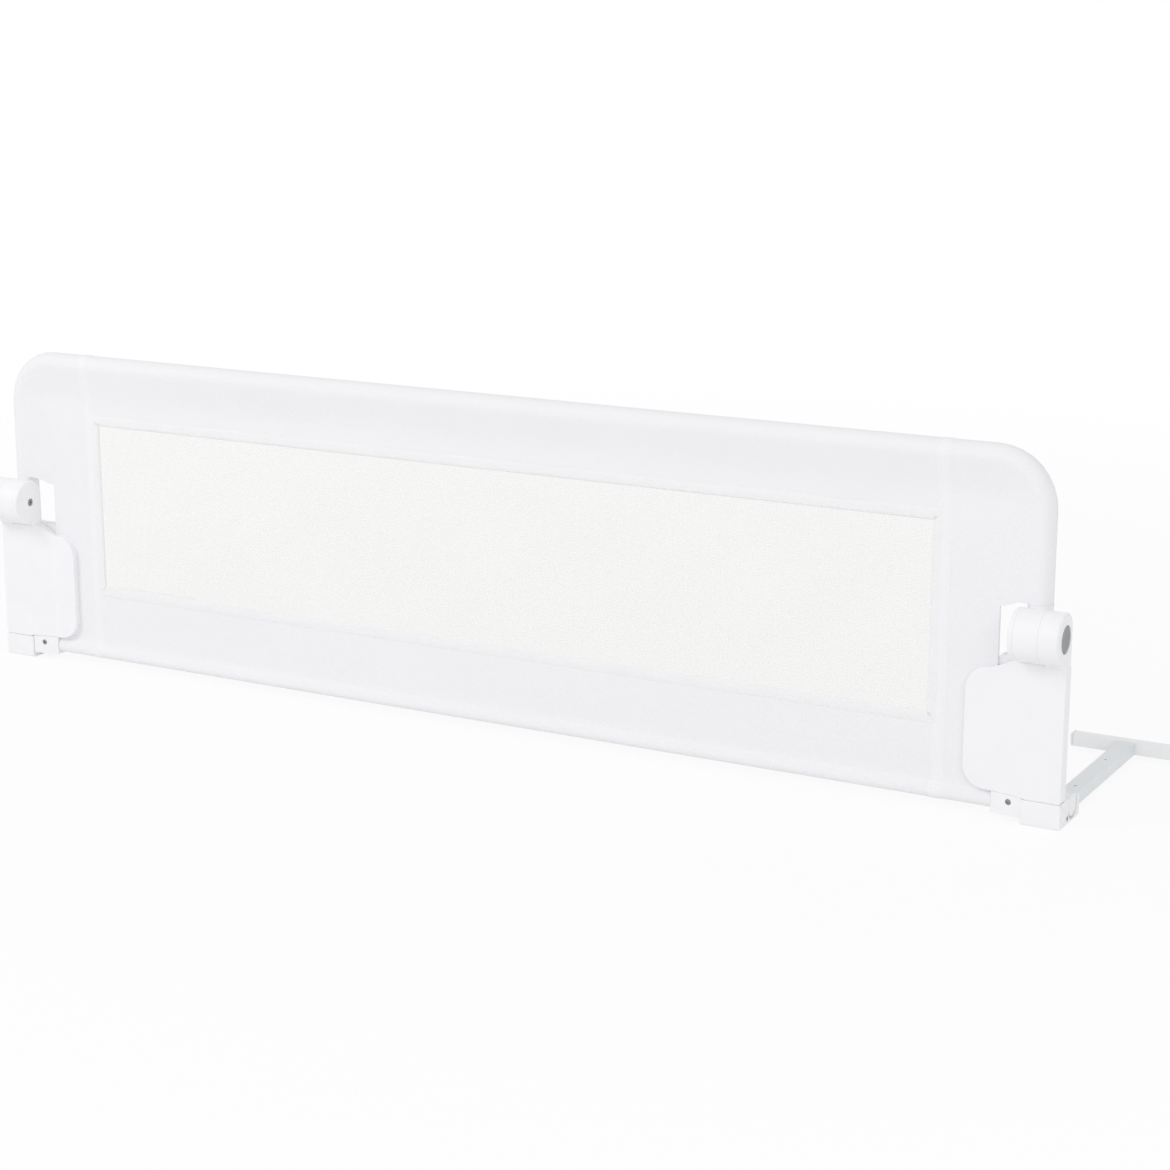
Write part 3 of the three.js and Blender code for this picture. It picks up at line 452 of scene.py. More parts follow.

# Woven polyester: a plain weave of bright threads, slightly cool white, with a soft sheen at
# grazing angles. The threads are 0.5 mm apart and are drawn 1.6 mm apart so that they show. The
# seam bands of doubled cloth are painted a shade lighter, a painted highlight on their raised cloth.
polyester, tree, shader, coordinates = new_material(
    "woven_polyester", 0.86, {"Sheen Weight": 0.15, "Sheen Roughness": 0.5, "IOR": 1.45}, "UV"
)
split = add_node(tree, "SeparateXYZ", {0: coordinates})
drift = noise(tree, coordinates, 130, 3.0)
tones = mixed_colour(tree, drift, linear("eeeef1"), linear("f1f1f4"))
# Painted highlight: the raised seam bands get a paler colour.
from_seam = maths(tree, "SUBTRACT", maths(tree, "ABSOLUTE", split.outputs[0]), seam_x * MM)
band = ranged(tree, maths(tree, "ABSOLUTE", from_seam), 0.0, 1.0, 7.8 * MM, 6.8 * MM)
tree.links.new(mixed_colour(tree, band, tones, linear("f2f2f5")), shader.inputs["Base Color"])
thread = np.pi / (1.6 * MM)
warp, weft = (maths(tree, "SINE", maths(tree, "MULTIPLY", split.outputs[i], thread)) for i in (0, 1))
relief(tree, shader, maths(tree, "MULTIPLY", warp, weft), 0.06)

cover_nodes = both_sides("cover_upper_end", "cover_lower_end") + ["cover_top_band", "cover_bottom_band"]
cloth = polyester, "white_cloth"
cover = cloth_piece("cover", pulled_down(cover_points), cover_faces, cloth, cover_nodes, cover_uv)

# The window's binding: a folded woven tape 14 mm wide and 4.8 mm thick, sewn round the edge of the
# opening so that it grips the cloth and the net between its two sides. It has finer steps where it
# bends as the rail folds.
tape_half, tape_rise = 7.0, 2.4
tape_step = 6.0
fold_run = stations([182, 253], 2)
side_run = np.union1d(stations([window_low, window_high], tape_step), fold_run)
long_run = stations([-window_x, window_x], tape_step)


def loop_round_window():
    """Places along the window's edge, anticlockwise from its lower right corner, with the outward
    direction at each: square to the edge, and stretched by the root of two at the mitres."""
    up, leftwards, down, rightwards = side_run, long_run[::-1][1:], side_run[::-1][1:], long_run[1:]
    x = [np.full_like(up, window_x), leftwards, np.full_like(down, -window_x), rightwards]
    z = [up, np.full_like(leftwards, window_high), down, np.full_like(rightwards, window_low)]
    x, z = np.concatenate(x), np.concatenate(z)
    out_x = (x > window_x - tolerance).astype(float) - (x < tolerance - window_x)
    out_z = (z > window_high - tolerance).astype(float) - (z < window_low + tolerance)
    return np.column_stack([x, z]), np.column_stack([out_x, out_z])


def tape(places, outward, half, rise, sides=28):
    """A flat tape with soft edges: at each place a superellipse, u = half * cos(t) ** 0.8 across
    and v = rise * sin(t) ** 0.8 in thickness, with the signs of the sine and cosine kept."""
    t = np.linspace(0, 2 * np.pi, sides, endpoint=False) + np.pi / sides
    u = half * np.sign(np.cos(t)) * np.abs(np.cos(t)) ** 0.8
    v = rise * np.sign(np.sin(t)) * np.abs(np.sin(t)) ** 0.8
    run = np.concatenate([[0], np.cumsum(np.hypot(*np.diff(places, axis=0).T))])
    waviness = 1 + 0.05 * np.sin(run / 31)[:, None]
    x = places[:, :1] + outward[:, :1] * u
    z = places[:, 1:] + outward[:, 1:] * u
    points = np.stack([x, v * waviness, z], -1).reshape(-1, 3)
    uv = np.stack(np.broadcast_arrays(run[:, None], u), -1).reshape(-1, 2)
    return points, uv, grid_quads(len(places), sides, wrap=True).tolist()


binding_points, binding_uv, binding_faces = tape(*loop_round_window(), tape_half, tape_rise)

# Woven tape: bright polyester with ribs across its width, real ones 0.7 mm apart, drawn 1.4 mm
# apart. Its colour is painted a shade paler than the cover's, a painted highlight for the raised tape.
sheen = {"Sheen Weight": 0.2, "IOR": 1.45}
woven_tape, tree, shader, coordinates = new_material("woven_tape", 0.8, sheen, "UV")
# Painted highlight: these tones are paler than the cover's.
mottled(tree, shader, coordinates, 45, "f0f0f2", "f5f5f6")
split = add_node(tree, "SeparateXYZ", {0: coordinates})
ribs = maths(tree, "MULTIPLY", split.outputs[0], 2 * np.pi / (1.4 * MM))
relief(tree, shader, maths(tree, "SINE", ribs), 0.08)

binding_nodes = ["window_binding_upper", "window_binding_lower"]
taped = woven_tape, "white_binding"
binding = cloth_piece("window_binding", binding_points, binding_faces, taped, binding_nodes, binding_uv)

# The window's net: one layer of knitted polyester mesh with rounded holes in staggered rows,
# stretched between the binding. Light and the bed behind it show through.
net_x, net_low, net_high = window_x - 3, window_low + 3, window_high - 3
net_rows = np.union1d(stations([net_low, net_high], 9), fold_run)
grid_x, grid_z = np.meshgrid(stations([-net_x, net_x], 9), net_rows)
inner = np.minimum(net_x - np.abs(grid_x), np.minimum(grid_z - net_low, net_high - grid_z))
slack = 0.9 * np.sin(grid_x / 71 + grid_z / 37) + 0.6 * np.sin(grid_x / 29 - grid_z / 23)
net_points = np.stack([grid_x, slack * step_up(inner, 0, 60), grid_z], -1).reshape(-1, 3)
net_uv = np.stack([grid_x, grid_z], -1).reshape(-1, 2)

# Knitted mesh: its real holes are about 1 mm wide and 2.2 mm apart. They are drawn 3.2 mm apart
# and 1.4 mm wide, so that they don't vanish. The threads are matt and slightly warm.
knitted_net, tree, shader, coordinates = new_material("knitted_mesh", 0.9, {"IOR": 1.45}, "UV")
mottled(tree, shader, coordinates, 160, "f0f0ef", "f3f3f2")
net_pitch = 3.2 * MM
split = add_node(tree, "SeparateXYZ", {0: coordinates})
column, row = (
    maths(tree, "COSINE", maths(tree, "MULTIPLY", split.outputs[i], 2 * np.pi / pitch))
    for i, pitch in enumerate((net_pitch, net_pitch * np.sqrt(3)))
)
staggered = maths(tree, "ABSOLUTE", maths(tree, "MULTIPLY", column, row))
thread_cover = ranged(tree, staggered, 1.0, 0.0, 0.62, 0.78)
tree.links.new(thread_cover.outputs[0], shader.inputs["Alpha"])
relief(tree, shader, thread_cover, 0.06)

net_faces = grid_quads(*grid_x.shape).tolist()
net_nodes = ["window_mesh_upper", "window_mesh_lower"]
knitted = knitted_net, "white_mesh"
net = cloth_piece("window_net", net_points, net_faces, knitted, net_nodes, net_uv)

# The stitching: white polyester thread in straight rows along both edges of the binding and of
# the lapped seams, on the front and the back. Stitches are 4 mm long and 5 mm apart.
stitch_pitch = 5.0


def cloth_surface(x, z):
    """Outer face of the cloth: the tube's circle where it touches a tube, else the drape."""
    near_frame, near_hem = from_frame(x, z), np.abs(z - hem_z)
    on_frame = near_frame < sleeve_radius * np.cos(contact(sleeve_radius, sleeve_reach))
    on_hem = near_hem < hem_radius * np.cos(contact(hem_radius, hem_reach))
    half = cloth_half(x, z, -1)
    half = np.where(on_frame, np.sqrt(np.maximum(sleeve_radius**2 - near_frame**2, 0)) + 0.7, half)
    return np.where(on_hem, np.sqrt(np.maximum(hem_radius**2 - near_hem**2, 0)) + 0.7, half)


def tape_surface(x, z):
    """Outer face of the binding, a little inside its thickest."""
    return np.full_like(x, 0.78 * tape_rise)


def stitch_row(start, finish, face, surface):
    """Lozenges of thread from start to finish in x and z, with their middles on one face's
    surface."""
    start, finish = np.array(start, float), np.array(finish, float)
    count = int(np.hypot(*(finish - start)) / stitch_pitch)
    along = (finish - start) / np.hypot(*(finish - start))
    middle = start + (finish - start) * (np.arange(count)[:, None] + 0.5) / count
    y = face * surface(middle[:, 0], middle[:, 1])
    side = np.array((-along[1], along[0]))
    ends = np.array([(-2, 0, 0), (0, 0.45, 0), (2, 0, 0), (0, -0.45, 0), (0, 0, 0.35), (0, 0, -0.35)])
    flat = ends[:, :1] * along + ends[:, 1:2] * side
    x = middle[:, None, 0] + flat[:, 0]
    z = middle[:, None, 1] + flat[:, 1]
    points = np.stack([x, y[:, None] + ends[:, 2], z], -1).reshape(-1, 3)
    upper = np.array([(0, 1, 4), (1, 2, 4), (2, 3, 4), (3, 0, 4)])
    lower = np.array([(1, 0, 5), (2, 1, 5), (3, 2, 5), (0, 3, 5)])
    corners = np.concatenate([upper, lower])
    return points, (corners + 6 * np.arange(count)[:, None, None]).reshape(-1, 3)


def together(parts):
    """Several lots of points and faces as one."""
    points, made = zip(*parts)
    starts = np.cumsum([0, *map(len, points)])
    faces = [[corner + start for corner in face] for lot, start in zip(made, starts) for face in lot]
    return np.concatenate(points), faces


rows = []
for face in (-1, 1):
    for offset in (-5.2, 5.2):
        wide, low, high = window_x + offset, window_low - offset, window_high + offset
        rows += [stitch_row((-wide, z), (wide, z), face, tape_surface) for z in (low, high)]
        rows += [stitch_row((x, low), (x, high), face, tape_surface) for x in (-wide, wide)]
    for beside in (-4, 4):
        runs = [(hem_z, window_low - 8), (window_high + 8, top_z), (window_low, window_high)]
        for low, high in runs[: 2 if beside < 0 else 3]:
            for x in (-seam_x - beside, seam_x + beside):
                rows.append(stitch_row((x, low), (x, high), face, cloth_surface))
stitch_points, stitch_faces = together(rows)

# Sewing thread: twisted polyester, a touch brighter than the cloth, with the twist's slant.
sewing_thread, tree, shader, coordinates = new_material("sewing_thread", 0.7, {"Sheen Weight": 0.2})
relief(tree, shader, mottled(tree, shader, coordinates, 3, "eeeef1", "f9f9fa"), 0.05)
sewn_thread = sewing_thread, "white_binding"
stitching = cloth_piece("cover_stitching", stitch_points, stitch_faces, sewn_thread, sharp=80)

# The end housings: two moulded shells each, screwed together from the back round the lower
# upright. They clamp the end of the cover under a rounded plate, and the front shell carries the
# two ears of the hinge.
plate_x, end_x = (corner[0] for corner in box_mm("right_housing_front"))
rear_side, _, housing_top = box_mm("right_housing_rear")[1]
box_depth, plate_depth = 16.4, 9.5
box_x, slope_x = 705.0, 670.0
plate_centre, plate_corner = np.array((686, 101.5)), 27
plate_low, shoulder_z = 31, housing_top - 13
seat_y, seat_z = -17.8, housing_top - 2.4
plate_screws = np.array([(686, 158.5), (686, 44.5)])
foot_top = 29.0
hinge_axis, barrel_radius = np.array((-20.8, housing_top + 32.6)), 29.2
(knuckle_x, _, knuckle_z), (knuckle_end, _, socket_top) = box_mm("right_knuckle")
ear_gap, ear_wall = 0.1, 6
parting = 0.15
housing_wall, housing_round = 2.4, 1.2
button_hole = 15.8
hub_hole, pin_hole = 7.2, 3.4


def polar(centre, distance, turn):
    """Points at a distance from a centre, at angles from the first axis."""
    return centre + np.expand_dims(distance, -1) * np.stack([np.cos(turn), np.sin(turn)], -1)


def spread(outline, step=1.5):
    """A closed outline with points added along each side, a step apart at most."""
    ends = np.roll(outline, -1, 0)
    counts = np.maximum(1, np.ceil(np.hypot(*(ends - outline).T) / step)).astype(int)
    side = np.repeat(np.arange(len(outline)), counts)
    share = (np.arange(counts.sum()) - np.repeat(np.cumsum(counts) - counts, counts)) / counts[side]
    return outline[side] + (ends - outline)[side] * share[:, None]


def rounded(corners, radii, step=1.5, arcs=8):
    """A closed outline with each corner replaced by an arc that touches both of its sides: the
    arc's centre lies radius / sin(half the corner's angle) from the corner, on its bisector."""
    corners, radii = np.array(corners, float), np.broadcast_to(np.array(radii, float), len(corners))
    before, after = np.roll(corners, 1, 0) - corners, np.roll(corners, -1, 0) - corners
    before /= np.hypot(*before.T)[:, None]
    after /= np.hypot(*after.T)[:, None]
    half = np.arccos(np.clip((before * after).sum(1), -1, 1)) / 2
    bisector = before + after
    bisector /= np.maximum(np.hypot(*bisector.T), 1e-9)[:, None]
    centre = corners + bisector * (radii / np.sin(half))[:, None]
    reach = (radii / np.tan(half))[:, None]
    start = np.arctan2(*(corners + before * reach - centre).T[::-1])
    finish = np.arctan2(*(corners + after * reach - centre).T[::-1])
    sweep = (finish - start + np.pi) % (2 * np.pi) - np.pi
    turn = start[:, None] + sweep[:, None] * np.linspace(0, 1, arcs + 1)
    outline = polar(centre[:, None], radii[:, None], turn).reshape(-1, 2)
    apart = np.hypot(*(outline - np.roll(outline, 1, 0)).T) > 1e-4
    return spread(outline[apart], step)


def inset(outline, depth):
    """An anticlockwise outline moved inwards: each point along the mean of the normals of the two
    sides that meet there, by depth / cosine of half their turn."""
    ahead = np.roll(outline, -1, 0) - outline
    ahead /= np.hypot(*ahead.T)[:, None]
    behind = np.roll(ahead, 1, 0)
    first, second = (np.stack([-d[:, 1], d[:, 0]], -1) for d in (behind, ahead))
    mean = first + second
    mean /= np.hypot(*mean.T)[:, None]
    return outline + depth * mean / (mean * first).sum(1)[:, None]


def to_circle(outline, centre, radius):
    """A circle's points on the rays from its centre through the outline's points."""
    away = outline - centre
    return centre + radius * away / np.hypot(*away.T)[:, None]


def to_outline(outline, target, centre):
    """A target outline's points on the rays from a centre through the outline's points: its
    distance from the centre as a function of the angle, read at the outline's angles."""
    away, fine = outline - centre, spread(target, 0.1) - centre
    angle, reach = np.arctan2(*fine.T[::-1]), np.hypot(*fine.T)
    order = np.argsort(angle)
    distance = np.interp(np.arctan2(*away.T[::-1]), angle[order], reach[order], period=2 * np.pi)
    return to_circle(outline, centre, distance[:, None])


def circle(centre, radius, count=64):
    """An anticlockwise circle."""
    return polar(centre, radius, np.linspace(0, 2 * np.pi, count, endpoint=False))


def edge_rings(outline, place, outward, radius, steps=5):
    """Rings of an outline that ends at a place with a quarter-round edge: each lies back by
    radius * (1 - sin t) and is inset by radius * (1 - cos t). One more lies on the side, and one
    on the flat."""
    t = np.linspace(0, np.pi / 2, steps + 1)
    backs = [radius + 0.3, *(radius * (1 - np.sin(t))), 0]
    depths = [0, *(radius * (1 - np.cos(t))), radius + 0.3]
    return [(place - outward * back, inset(outline, depth)) for back, depth in zip(backs, depths)]


def skin(axis, rings, closed=False):
    """Quads between rings, each a flat outline at a place along an axis. A closed skin joins its
    last ring to its first, and an open one is shut by a face at each end."""
    count = len(rings[0][1])
    points = [np.insert(outline, axis, place, axis=1) for place, outline in rings]
    if closed:
        points.append(points[0])
    faces = grid_quads(len(points), count, wrap=True).tolist()
    if not closed:
        last = (len(points) - 1) * count
        faces += [list(range(count)), list(range(last, last + count))]
    return np.concatenate(points), faces


def make_pair(name, body, finish, *parts):
    """Makes a piece that replaces the right-hand node of its name and rides on its body, and its
    mirror image for the left-hand end."""
    points, faces = together(parts)
    pair = []
    for side, turn in (("right", 1), ("left", -1)):
        node = f"{side}_{name}"
        piece = make_piece(f"{node}_form", points * (turn, 1, 1), faces, finish, [node])
        pair.append(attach(piece, body if body.endswith("frame") else f"{side}_{body}"))
    return pair


def moulded(name, darker, paler, roughness):
    """Injection-moulded plastic: nearly even in colour, with the fine spark-eroded grain of its
    mould (0.2 mm, drawn 0.9 mm wide) and a soft shine that varies a little over the surface."""
    material, tree, shader, coordinates = new_material(name, roughness, {"IOR": 1.49})
    patches = mottled(tree, shader, coordinates, 35, darker, paler)
    shine = ranged(tree, patches, roughness - 0.06, roughness + 0.06)
    tree.links.new(shine.outputs[0], shader.inputs["Roughness"])
    relief(tree, shader, noise(tree, coordinates, 0.9, 2.0), 0.02)
    return material


white_plastic = moulded("moulded_polypropylene", "f1f1f3", "f6f6f8", 0.45), "white_plastic"


def shell(side_x, shoulder_x, run, radii):
    """A shell's outline from the front: a box over the foot, a shoulder that slopes down over a
    run, and the plate with its two large corners."""
    base_z = foot_top + ear_gap
    box = [(709, base_z), (side_x, base_z), (side_x, housing_top), (shoulder_x, housing_top)]
    plate = [(shoulder_x - run, shoulder_z), (plate_x, shoulder_z), (plate_x, plate_low)]
    corners = [*box, *plate, (701, plate_low)]
    return rounded(corners, [12, 3.4, 3.4, *radii, plate_corner, plate_corner, 12])


def towards_centre(outline, place, count):
    """Rings on a flat face: the outline drawn in towards the plate's centre by even shares."""
    shares = np.linspace(1, 0.04, count)[:, None, None]
    return [(place, ring) for ring in plate_centre + (outline - plate_centre) * shares]


def sloped(points):
    """Front shell's points with their depth scaled from the box's to the real one: the plate's,
    then a straight slope to the box's, with both of its ends eased by log(1 + exp(distance))."""
    eased = np.logaddexp(0, points[:, 0] - slope_x) - np.logaddexp(0, points[:, 0] - box_x + 1)
    depth = plate_depth + (box_depth - plate_depth) * np.clip(eased / (box_x - 1 - slope_x), 0, 1)
    return points * np.stack([np.ones_like(depth), depth / box_depth, np.ones_like(depth)], -1)


shoulder = 690, 26, (9, 14)
front_outline = shell(end_x, *shoulder)
wall_y = box_depth - housing_wall
hollow_shape = inset(shell(rear_side, *shoulder), housing_wall)
hollow_outline = to_outline(front_outline, hollow_shape, plate_centre)
front_points, front_faces = skin(
    1,
    [
        *towards_centre(hollow_outline, -wall_y, 16)[::-1],
        (-parting, hollow_outline),
        (-parting, front_outline),
        *edge_rings(front_outline, -box_depth, -1, housing_round),
        *towards_centre(inset(front_outline, housing_round + 0.3), -box_depth, 30)[1:],
    ],
)


def barrel_profile(rear_y, corners, radii, corner=18.0):
    """A side profile of the hinge's barrel: a flat rear face, a rounded corner whose arc touches
    the barrel's circle from inside, the circle round to its lowest point, and a polygon below."""
    back = rear_y - corner - hinge_axis[0]
    rise = np.sqrt((barrel_radius - corner) ** 2 - back**2)
    join = np.arctan2(rise, back)
    small = polar(hinge_axis + (back, rise), corner, np.linspace(0, join, 14)[:-1])
    large = polar(hinge_axis, barrel_radius, np.linspace(join, 3 * np.pi / 2, 48))
    return rounded([*small, *large, *corners], [*np.zeros(len(small) + len(large)), *radii])


def bored(outline, centre, *bores):
    """Rings of a bore, from its places and radii: circles about its centre with a point for each
    point of the outline."""
    return [(place, to_circle(outline, centre, radius)) for place, radius in bores]


def eye(outline, centre, start, end, hole, bore, first_edge, last_edge):
    """A moulding along x round a hole, which may open into a wider bore towards its end. Each edge
    is given by its radius and steps."""
    outward = np.sign(end - start)
    rings = [
        *bored(outline, centre, (start, hole)),
        *edge_rings(outline, start, -outward, *first_edge)[::-1],
        *edge_rings(outline, end, outward, *last_edge),
        *bored(outline, centre, *bore),
    ]
    return skin(0, rings, closed=True)


outer_outline, inner_outline = (
    barrel_profile(-parting, [(y, seat_z), (-parting, seat_z)], [3.4, 3.4]) for y in (seat_y, -13.6)
)
inner_face, outer_face = knuckle_x - ear_gap, knuckle_end + ear_gap
inner_end, cavity_x = inner_face - ear_wall, outer_face + ear_wall
pin_floor = inner_end + 3.1
pin_rim = [(inner_end, 5.6), (inner_end + 0.6, 5.0), (pin_floor, 4.9), (pin_floor, pin_hole)]
button_rim = [(0, 1.2), (0.35, 0.35), (1.2, 0), (end_x - cavity_x, 0)]
button_bore = [(end_x - deep, button_hole + wider) for deep, wider in button_rim]
button_bore.append((cavity_x, hub_hole))
crisp, soft = (0.2, 2), (3.0, 5)
ears = [
    eye(inner_outline, hinge_axis, inner_face, inner_end, pin_hole, pin_rim, crisp, soft),
    eye(outer_outline, hinge_axis, outer_face, end_x, hub_hole, button_bore, crisp, soft),
]
make_pair("housing_front", "lower_frame", white_plastic, (sloped(front_points), front_faces), *ears)

# The rear shell closes the housing. It is a little narrower, with a wider shoulder, and its flat
# back has two deep holes for the screws.
rear_outline = shell(rear_side, 668, 6, (4, 2.5))
rear_hollow = to_outline(rear_outline, hollow_shape, plate_centre)
rear_flat = inset(rear_outline, housing_round + 0.3)
by_height = np.argsort(np.abs(rear_flat[:, 1] - plate_centre[1]))
right = next(i for i in by_height if rear_flat[i, 0] > plate_centre[0])
left = next(i for i in by_height if rear_flat[i, 0] < plate_centre[0])
share = np.linspace(0, 1, 40)[1:-1, None]
across = rear_flat[left] + (rear_flat[right] - rear_flat[left]) * share
upper = np.roll(rear_flat, -right, 0)[: (left - right) % len(rear_flat) + 1]
lower = np.roll(rear_flat, -left, 0)[: (right - left) % len(rear_flat) + 1]
outside = [
    (wall_y, rear_hollow),
    (parting, rear_hollow),
    (parting, rear_outline),
    *edge_rings(rear_outline, box_depth, 1, housing_round),
]
points, faces = skin(1, outside)
rear_parts = [(points, faces[:-1])]
well = [(box_depth, 4.3), (box_depth - 0.5, 3.7), (box_depth - 3.0, 3.7)]
for half, back, place in ((upper, across, plate_screws[0]), (lower, across[::-1], plate_screws[1])):
    loop = np.concatenate([half, back])
    points, faces = skin(1, [(box_depth, loop), *bored(loop, place, *well)])
    rear_parts.append((points, faces[:-2] + faces[-1:]))
make_pair("housing_rear", "lower_frame", white_plastic, *rear_parts)

# The knuckle: one moulding between the ears. It turns on the hinge pin, and the round socket behind
# its barrel holds the foot of the upright.
knuckle_y, hub_floor = 6.0, 704.0
knuckle_outline = barrel_profile(knuckle_y, [(seat_y, knuckle_z), (knuckle_y, knuckle_z)], [0.9, 1.5])
hub_bore = [(knuckle_end, hub_hole), (hub_floor, hub_hole), (hub_floor, pin_hole)]
barrel = eye(knuckle_outline, hinge_axis, knuckle_x, knuckle_end, pin_hole, hub_bore, crisp, crisp)
socket_outline = circle((upright_x, 0), 14.2)
socket_hole, socket_floor = inset(socket_outline, 1.6), 236.0
socket = [
    *edge_rings(socket_outline, knuckle_z + 0.06, -1, 1.0, 3)[::-1],
    *edge_rings(socket_outline, notch_z - 0.05, 1, 0.15, 3)[:-1],
    (socket_top - 0.4, socket_hole),
    (socket_floor, socket_hole),
]
make_pair("knuckle", "upper_frame", white_plastic, barrel, skin(2, socket))

# The release button: a grey moulded cap with a shallow dish for the fingertip, which slides in the
# outer ear and carries a boss that pushes the lock.
button_x, cap_x = box_mm("right_release_button")[1][0], 739.3
button_radius, boss_radius = 15.5, 6.4
dish_radius, dish_depth = 13.2, 1.1
button_circle = circle(hinge_axis, button_radius)
boss_circle = inset(button_circle, button_radius - boss_radius)
button_rings = [
    (cavity_x + 0.3, boss_circle),
    (cap_x, boss_circle),
    (cap_x, button_circle),
    *edge_rings(button_circle, button_x, 1, 1.2, 4),
]
for radius in (dish_radius, 11, 8, 5, 2):
    depth = dish_depth * (1 - (radius / dish_radius) ** 2)
    button_rings.append((button_x - depth, inset(button_circle, button_radius - radius)))
grey_plastic = moulded("grey_moulded_polypropylene", "8b8d92", "96989c", 0.5), "grey_plastic"
make_pair("release_button", "button", grey_plastic, skin(0, button_rings))
dress(both_sides("lock_hub"), grey_plastic)


# The spring that pushes each button out: a coil of round zinc-plated wire between the floor of the
# knuckle's round pocket and the hub. It shortens by the button's 6 mm of travel.
def coil(start, length, radius, wire, turns, sides=12):
    """A helix of round wire along x: at each share of its length, a circle of the wire's radius
    spanned by the axis and the outward direction."""
    share = np.linspace(0, 1, 24 * turns + 1)[:, None]
    turn, around = 2 * np.pi * turns * share, np.linspace(0, 2 * np.pi, sides, endpoint=False)
    x = start + wire + (length - 2 * wire) * share + wire * np.sin(around)
    reach = radius + wire * np.cos(around)
    y, z = hinge_axis[0] + reach * np.cos(turn), hinge_axis[1] + reach * np.sin(turn)
    last = (len(share) - 1) * sides
    caps = [list(range(sides)), list(range(last, last + sides))]
    points = np.stack([x, y, z], -1).reshape(-1, 3)
    return points, grid_quads(len(share), sides, wrap=True).tolist() + caps


spring_x, spring_end = (corner[0] for corner in box_mm("right_button_spring"))
length = spring_end - spring_x
springs = make_pair("button_spring", "lower_frame", bright_zinc, coil(spring_x, length, 5.0, 0.65, 4))
for spring, side, turn in zip(springs, ("right", "left"), (1, -1)):
    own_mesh(spring)


# Screws and the hinge pin: zinc-plated, with pan heads and a cross recess. Only the heads show; the
# shanks stay inside the mouldings.
def cross_ring(centre, arm, half, count=64):
    """A plus shape about a centre: distance = the greater of min(arm / |cos|, half / |sin|) and
    min(arm / |sin|, half / |cos|) at each angle."""
    turn = np.linspace(0, 2 * np.pi, count, endpoint=False)
    c, s = np.abs(np.cos(turn)) + 1e-9, np.abs(np.sin(turn)) + 1e-9
    distance = np.maximum(np.minimum(arm / c, half / s), np.minimum(arm / s, half / c))
    return polar(centre, distance, turn)


def screw(axis, outward, top, tip, centre, head, shank):
    """A screw from its tip to its top along an axis: a tapered tip, a shank, and a pan head whose
    dome rises by 0.3 * head * sqrt(1 - share ** 2) at a share of its radius, with a cross recess
    about a third of that radius deep."""
    dome, under_head = 0.3 * head, 2.4
    cross = cross_ring(centre, head * 0.62, head * 0.17)
    domed = [(dome * (1 - np.sqrt(1 - share**2)), head * share) for share in (1.0, 0.95, 0.85, 0.72)]
    heads = [(under_head, shank), (under_head, head * 0.94), (dome + 0.5, head), *domed]
    rings = [
        (tip, circle(centre, 0.3)),
        (tip + outward * 1.5, circle(centre, shank)),
        *((top - outward * down, circle(centre, radius)) for down, radius in heads),
        (top - outward * dome * 0.18, cross),
        (top - outward * (dome * 0.18 + head * 0.32), centre + (cross - centre) * 0.82),
    ]
    return skin(axis, rings)


small_screw, housing_ends = (3.1, 1.6), (box_depth - 0.3, -9.5)
block_screw, block_recess = (688.7, 22), 11.7
for name, body, axis, outward, (top, tip), centre, radii in (
    ("housing_screw_low", "lower_frame", 1, 1, housing_ends, plate_screws[1], small_screw),
    ("housing_screw_high", "lower_frame", 1, 1, housing_ends, plate_screws[0], small_screw),
    ("knuckle_screw", "upper_frame", 1, 1, (16.9, 9.5), (upright_x, 232), small_screw),
    ("hinge_pin", "lower_frame", 0, -1, (inner_end + 0.3, 739.2), hinge_axis, (4.6, 3.0)),
    ("connector_screw", "lower_frame", 1, -1, (-block_recess, -7.4), block_screw, small_screw),
    ("foot_screw", "lower_frame", 0, 1, (end_x + 0.7, 744.4), (10, 6.5), small_screw),
    ("t_bar_screw", "arm", 1, 1, (292.7, 263.3), (733.1, 12.25), (4.6, 2.5)),
):
    make_pair(name, body, bright_zinc, screw(axis, outward, top, tip, centre, *radii))

# The rail connectors: moulded blocks between each foot and the bottom rail, under the plate, that
# taper towards the rail. The rail's end is pushed into one and held by a screw from the front.
block_x, block_end, block_half, rail_half = 667.4, 704.9, 14.4, 9
block_corners = [(block_x, 6.5), (block_end, 6.5), (block_end, 30.8), (block_x, 30.8)]
block_outline = rounded(block_corners, [2.2, 0.7, 0.7, 0.9], 1.0)
block_hole = [(-block_half, 4.0), (0.5 - block_half, 3.5), (-block_recess, 3.5)]
block_rings = [
    *edge_rings(block_outline, block_half, 1, 0.3)[::-1],
    *edge_rings(block_outline, -block_half, -1, 0.3),
    *bored(block_outline, block_screw, *block_hole),
]
block_points, block_faces = skin(1, block_rings)
block_points[:, 1] *= np.interp(block_points[:, 0], (668.7, block_end), (rail_half / block_half, 1))
make_pair("rail_connector", "lower_frame", white_plastic, (block_points, block_faces))

# The feet: a moulding under each housing that stands on the floor. The eye of the base arm turns
# in a slot between its two cheeks, and shows in a round-bottomed opening in the outer one.
pivot, eye_radius, slot_radius = (28, 17), 12.5, 15.5
foot_end, heel_z, sole = 50, 24, 4.2
slot_x, slot_end = 722.2, 744.0
slot_arc = polar(pivot, slot_radius, np.linspace(2 * np.pi, np.pi, 25))
slot_back, slot_front = pivot[0] + slot_radius, pivot[0] - slot_radius
front = [(-box_depth, foot_top), (-box_depth, 0), (foot_end, 0)]
outer_corners = [*front, (foot_end, heel_z), (slot_back, heel_z), *slot_arc, (slot_front, foot_top)]
inner_corners = [*front, (foot_end, heel_z), (box_depth, heel_z), (box_depth, foot_top)]
bridge_corners = [*front, (foot_end, sole), (15.2, sole), (15.2, foot_top)]
outer_cheek = rounded(outer_corners, [0.4, 2, 3, 2, 1, *np.zeros(25), 1])
inner_cheek = rounded(inner_corners, [0.4, 2, 3, 2, 1, 1])
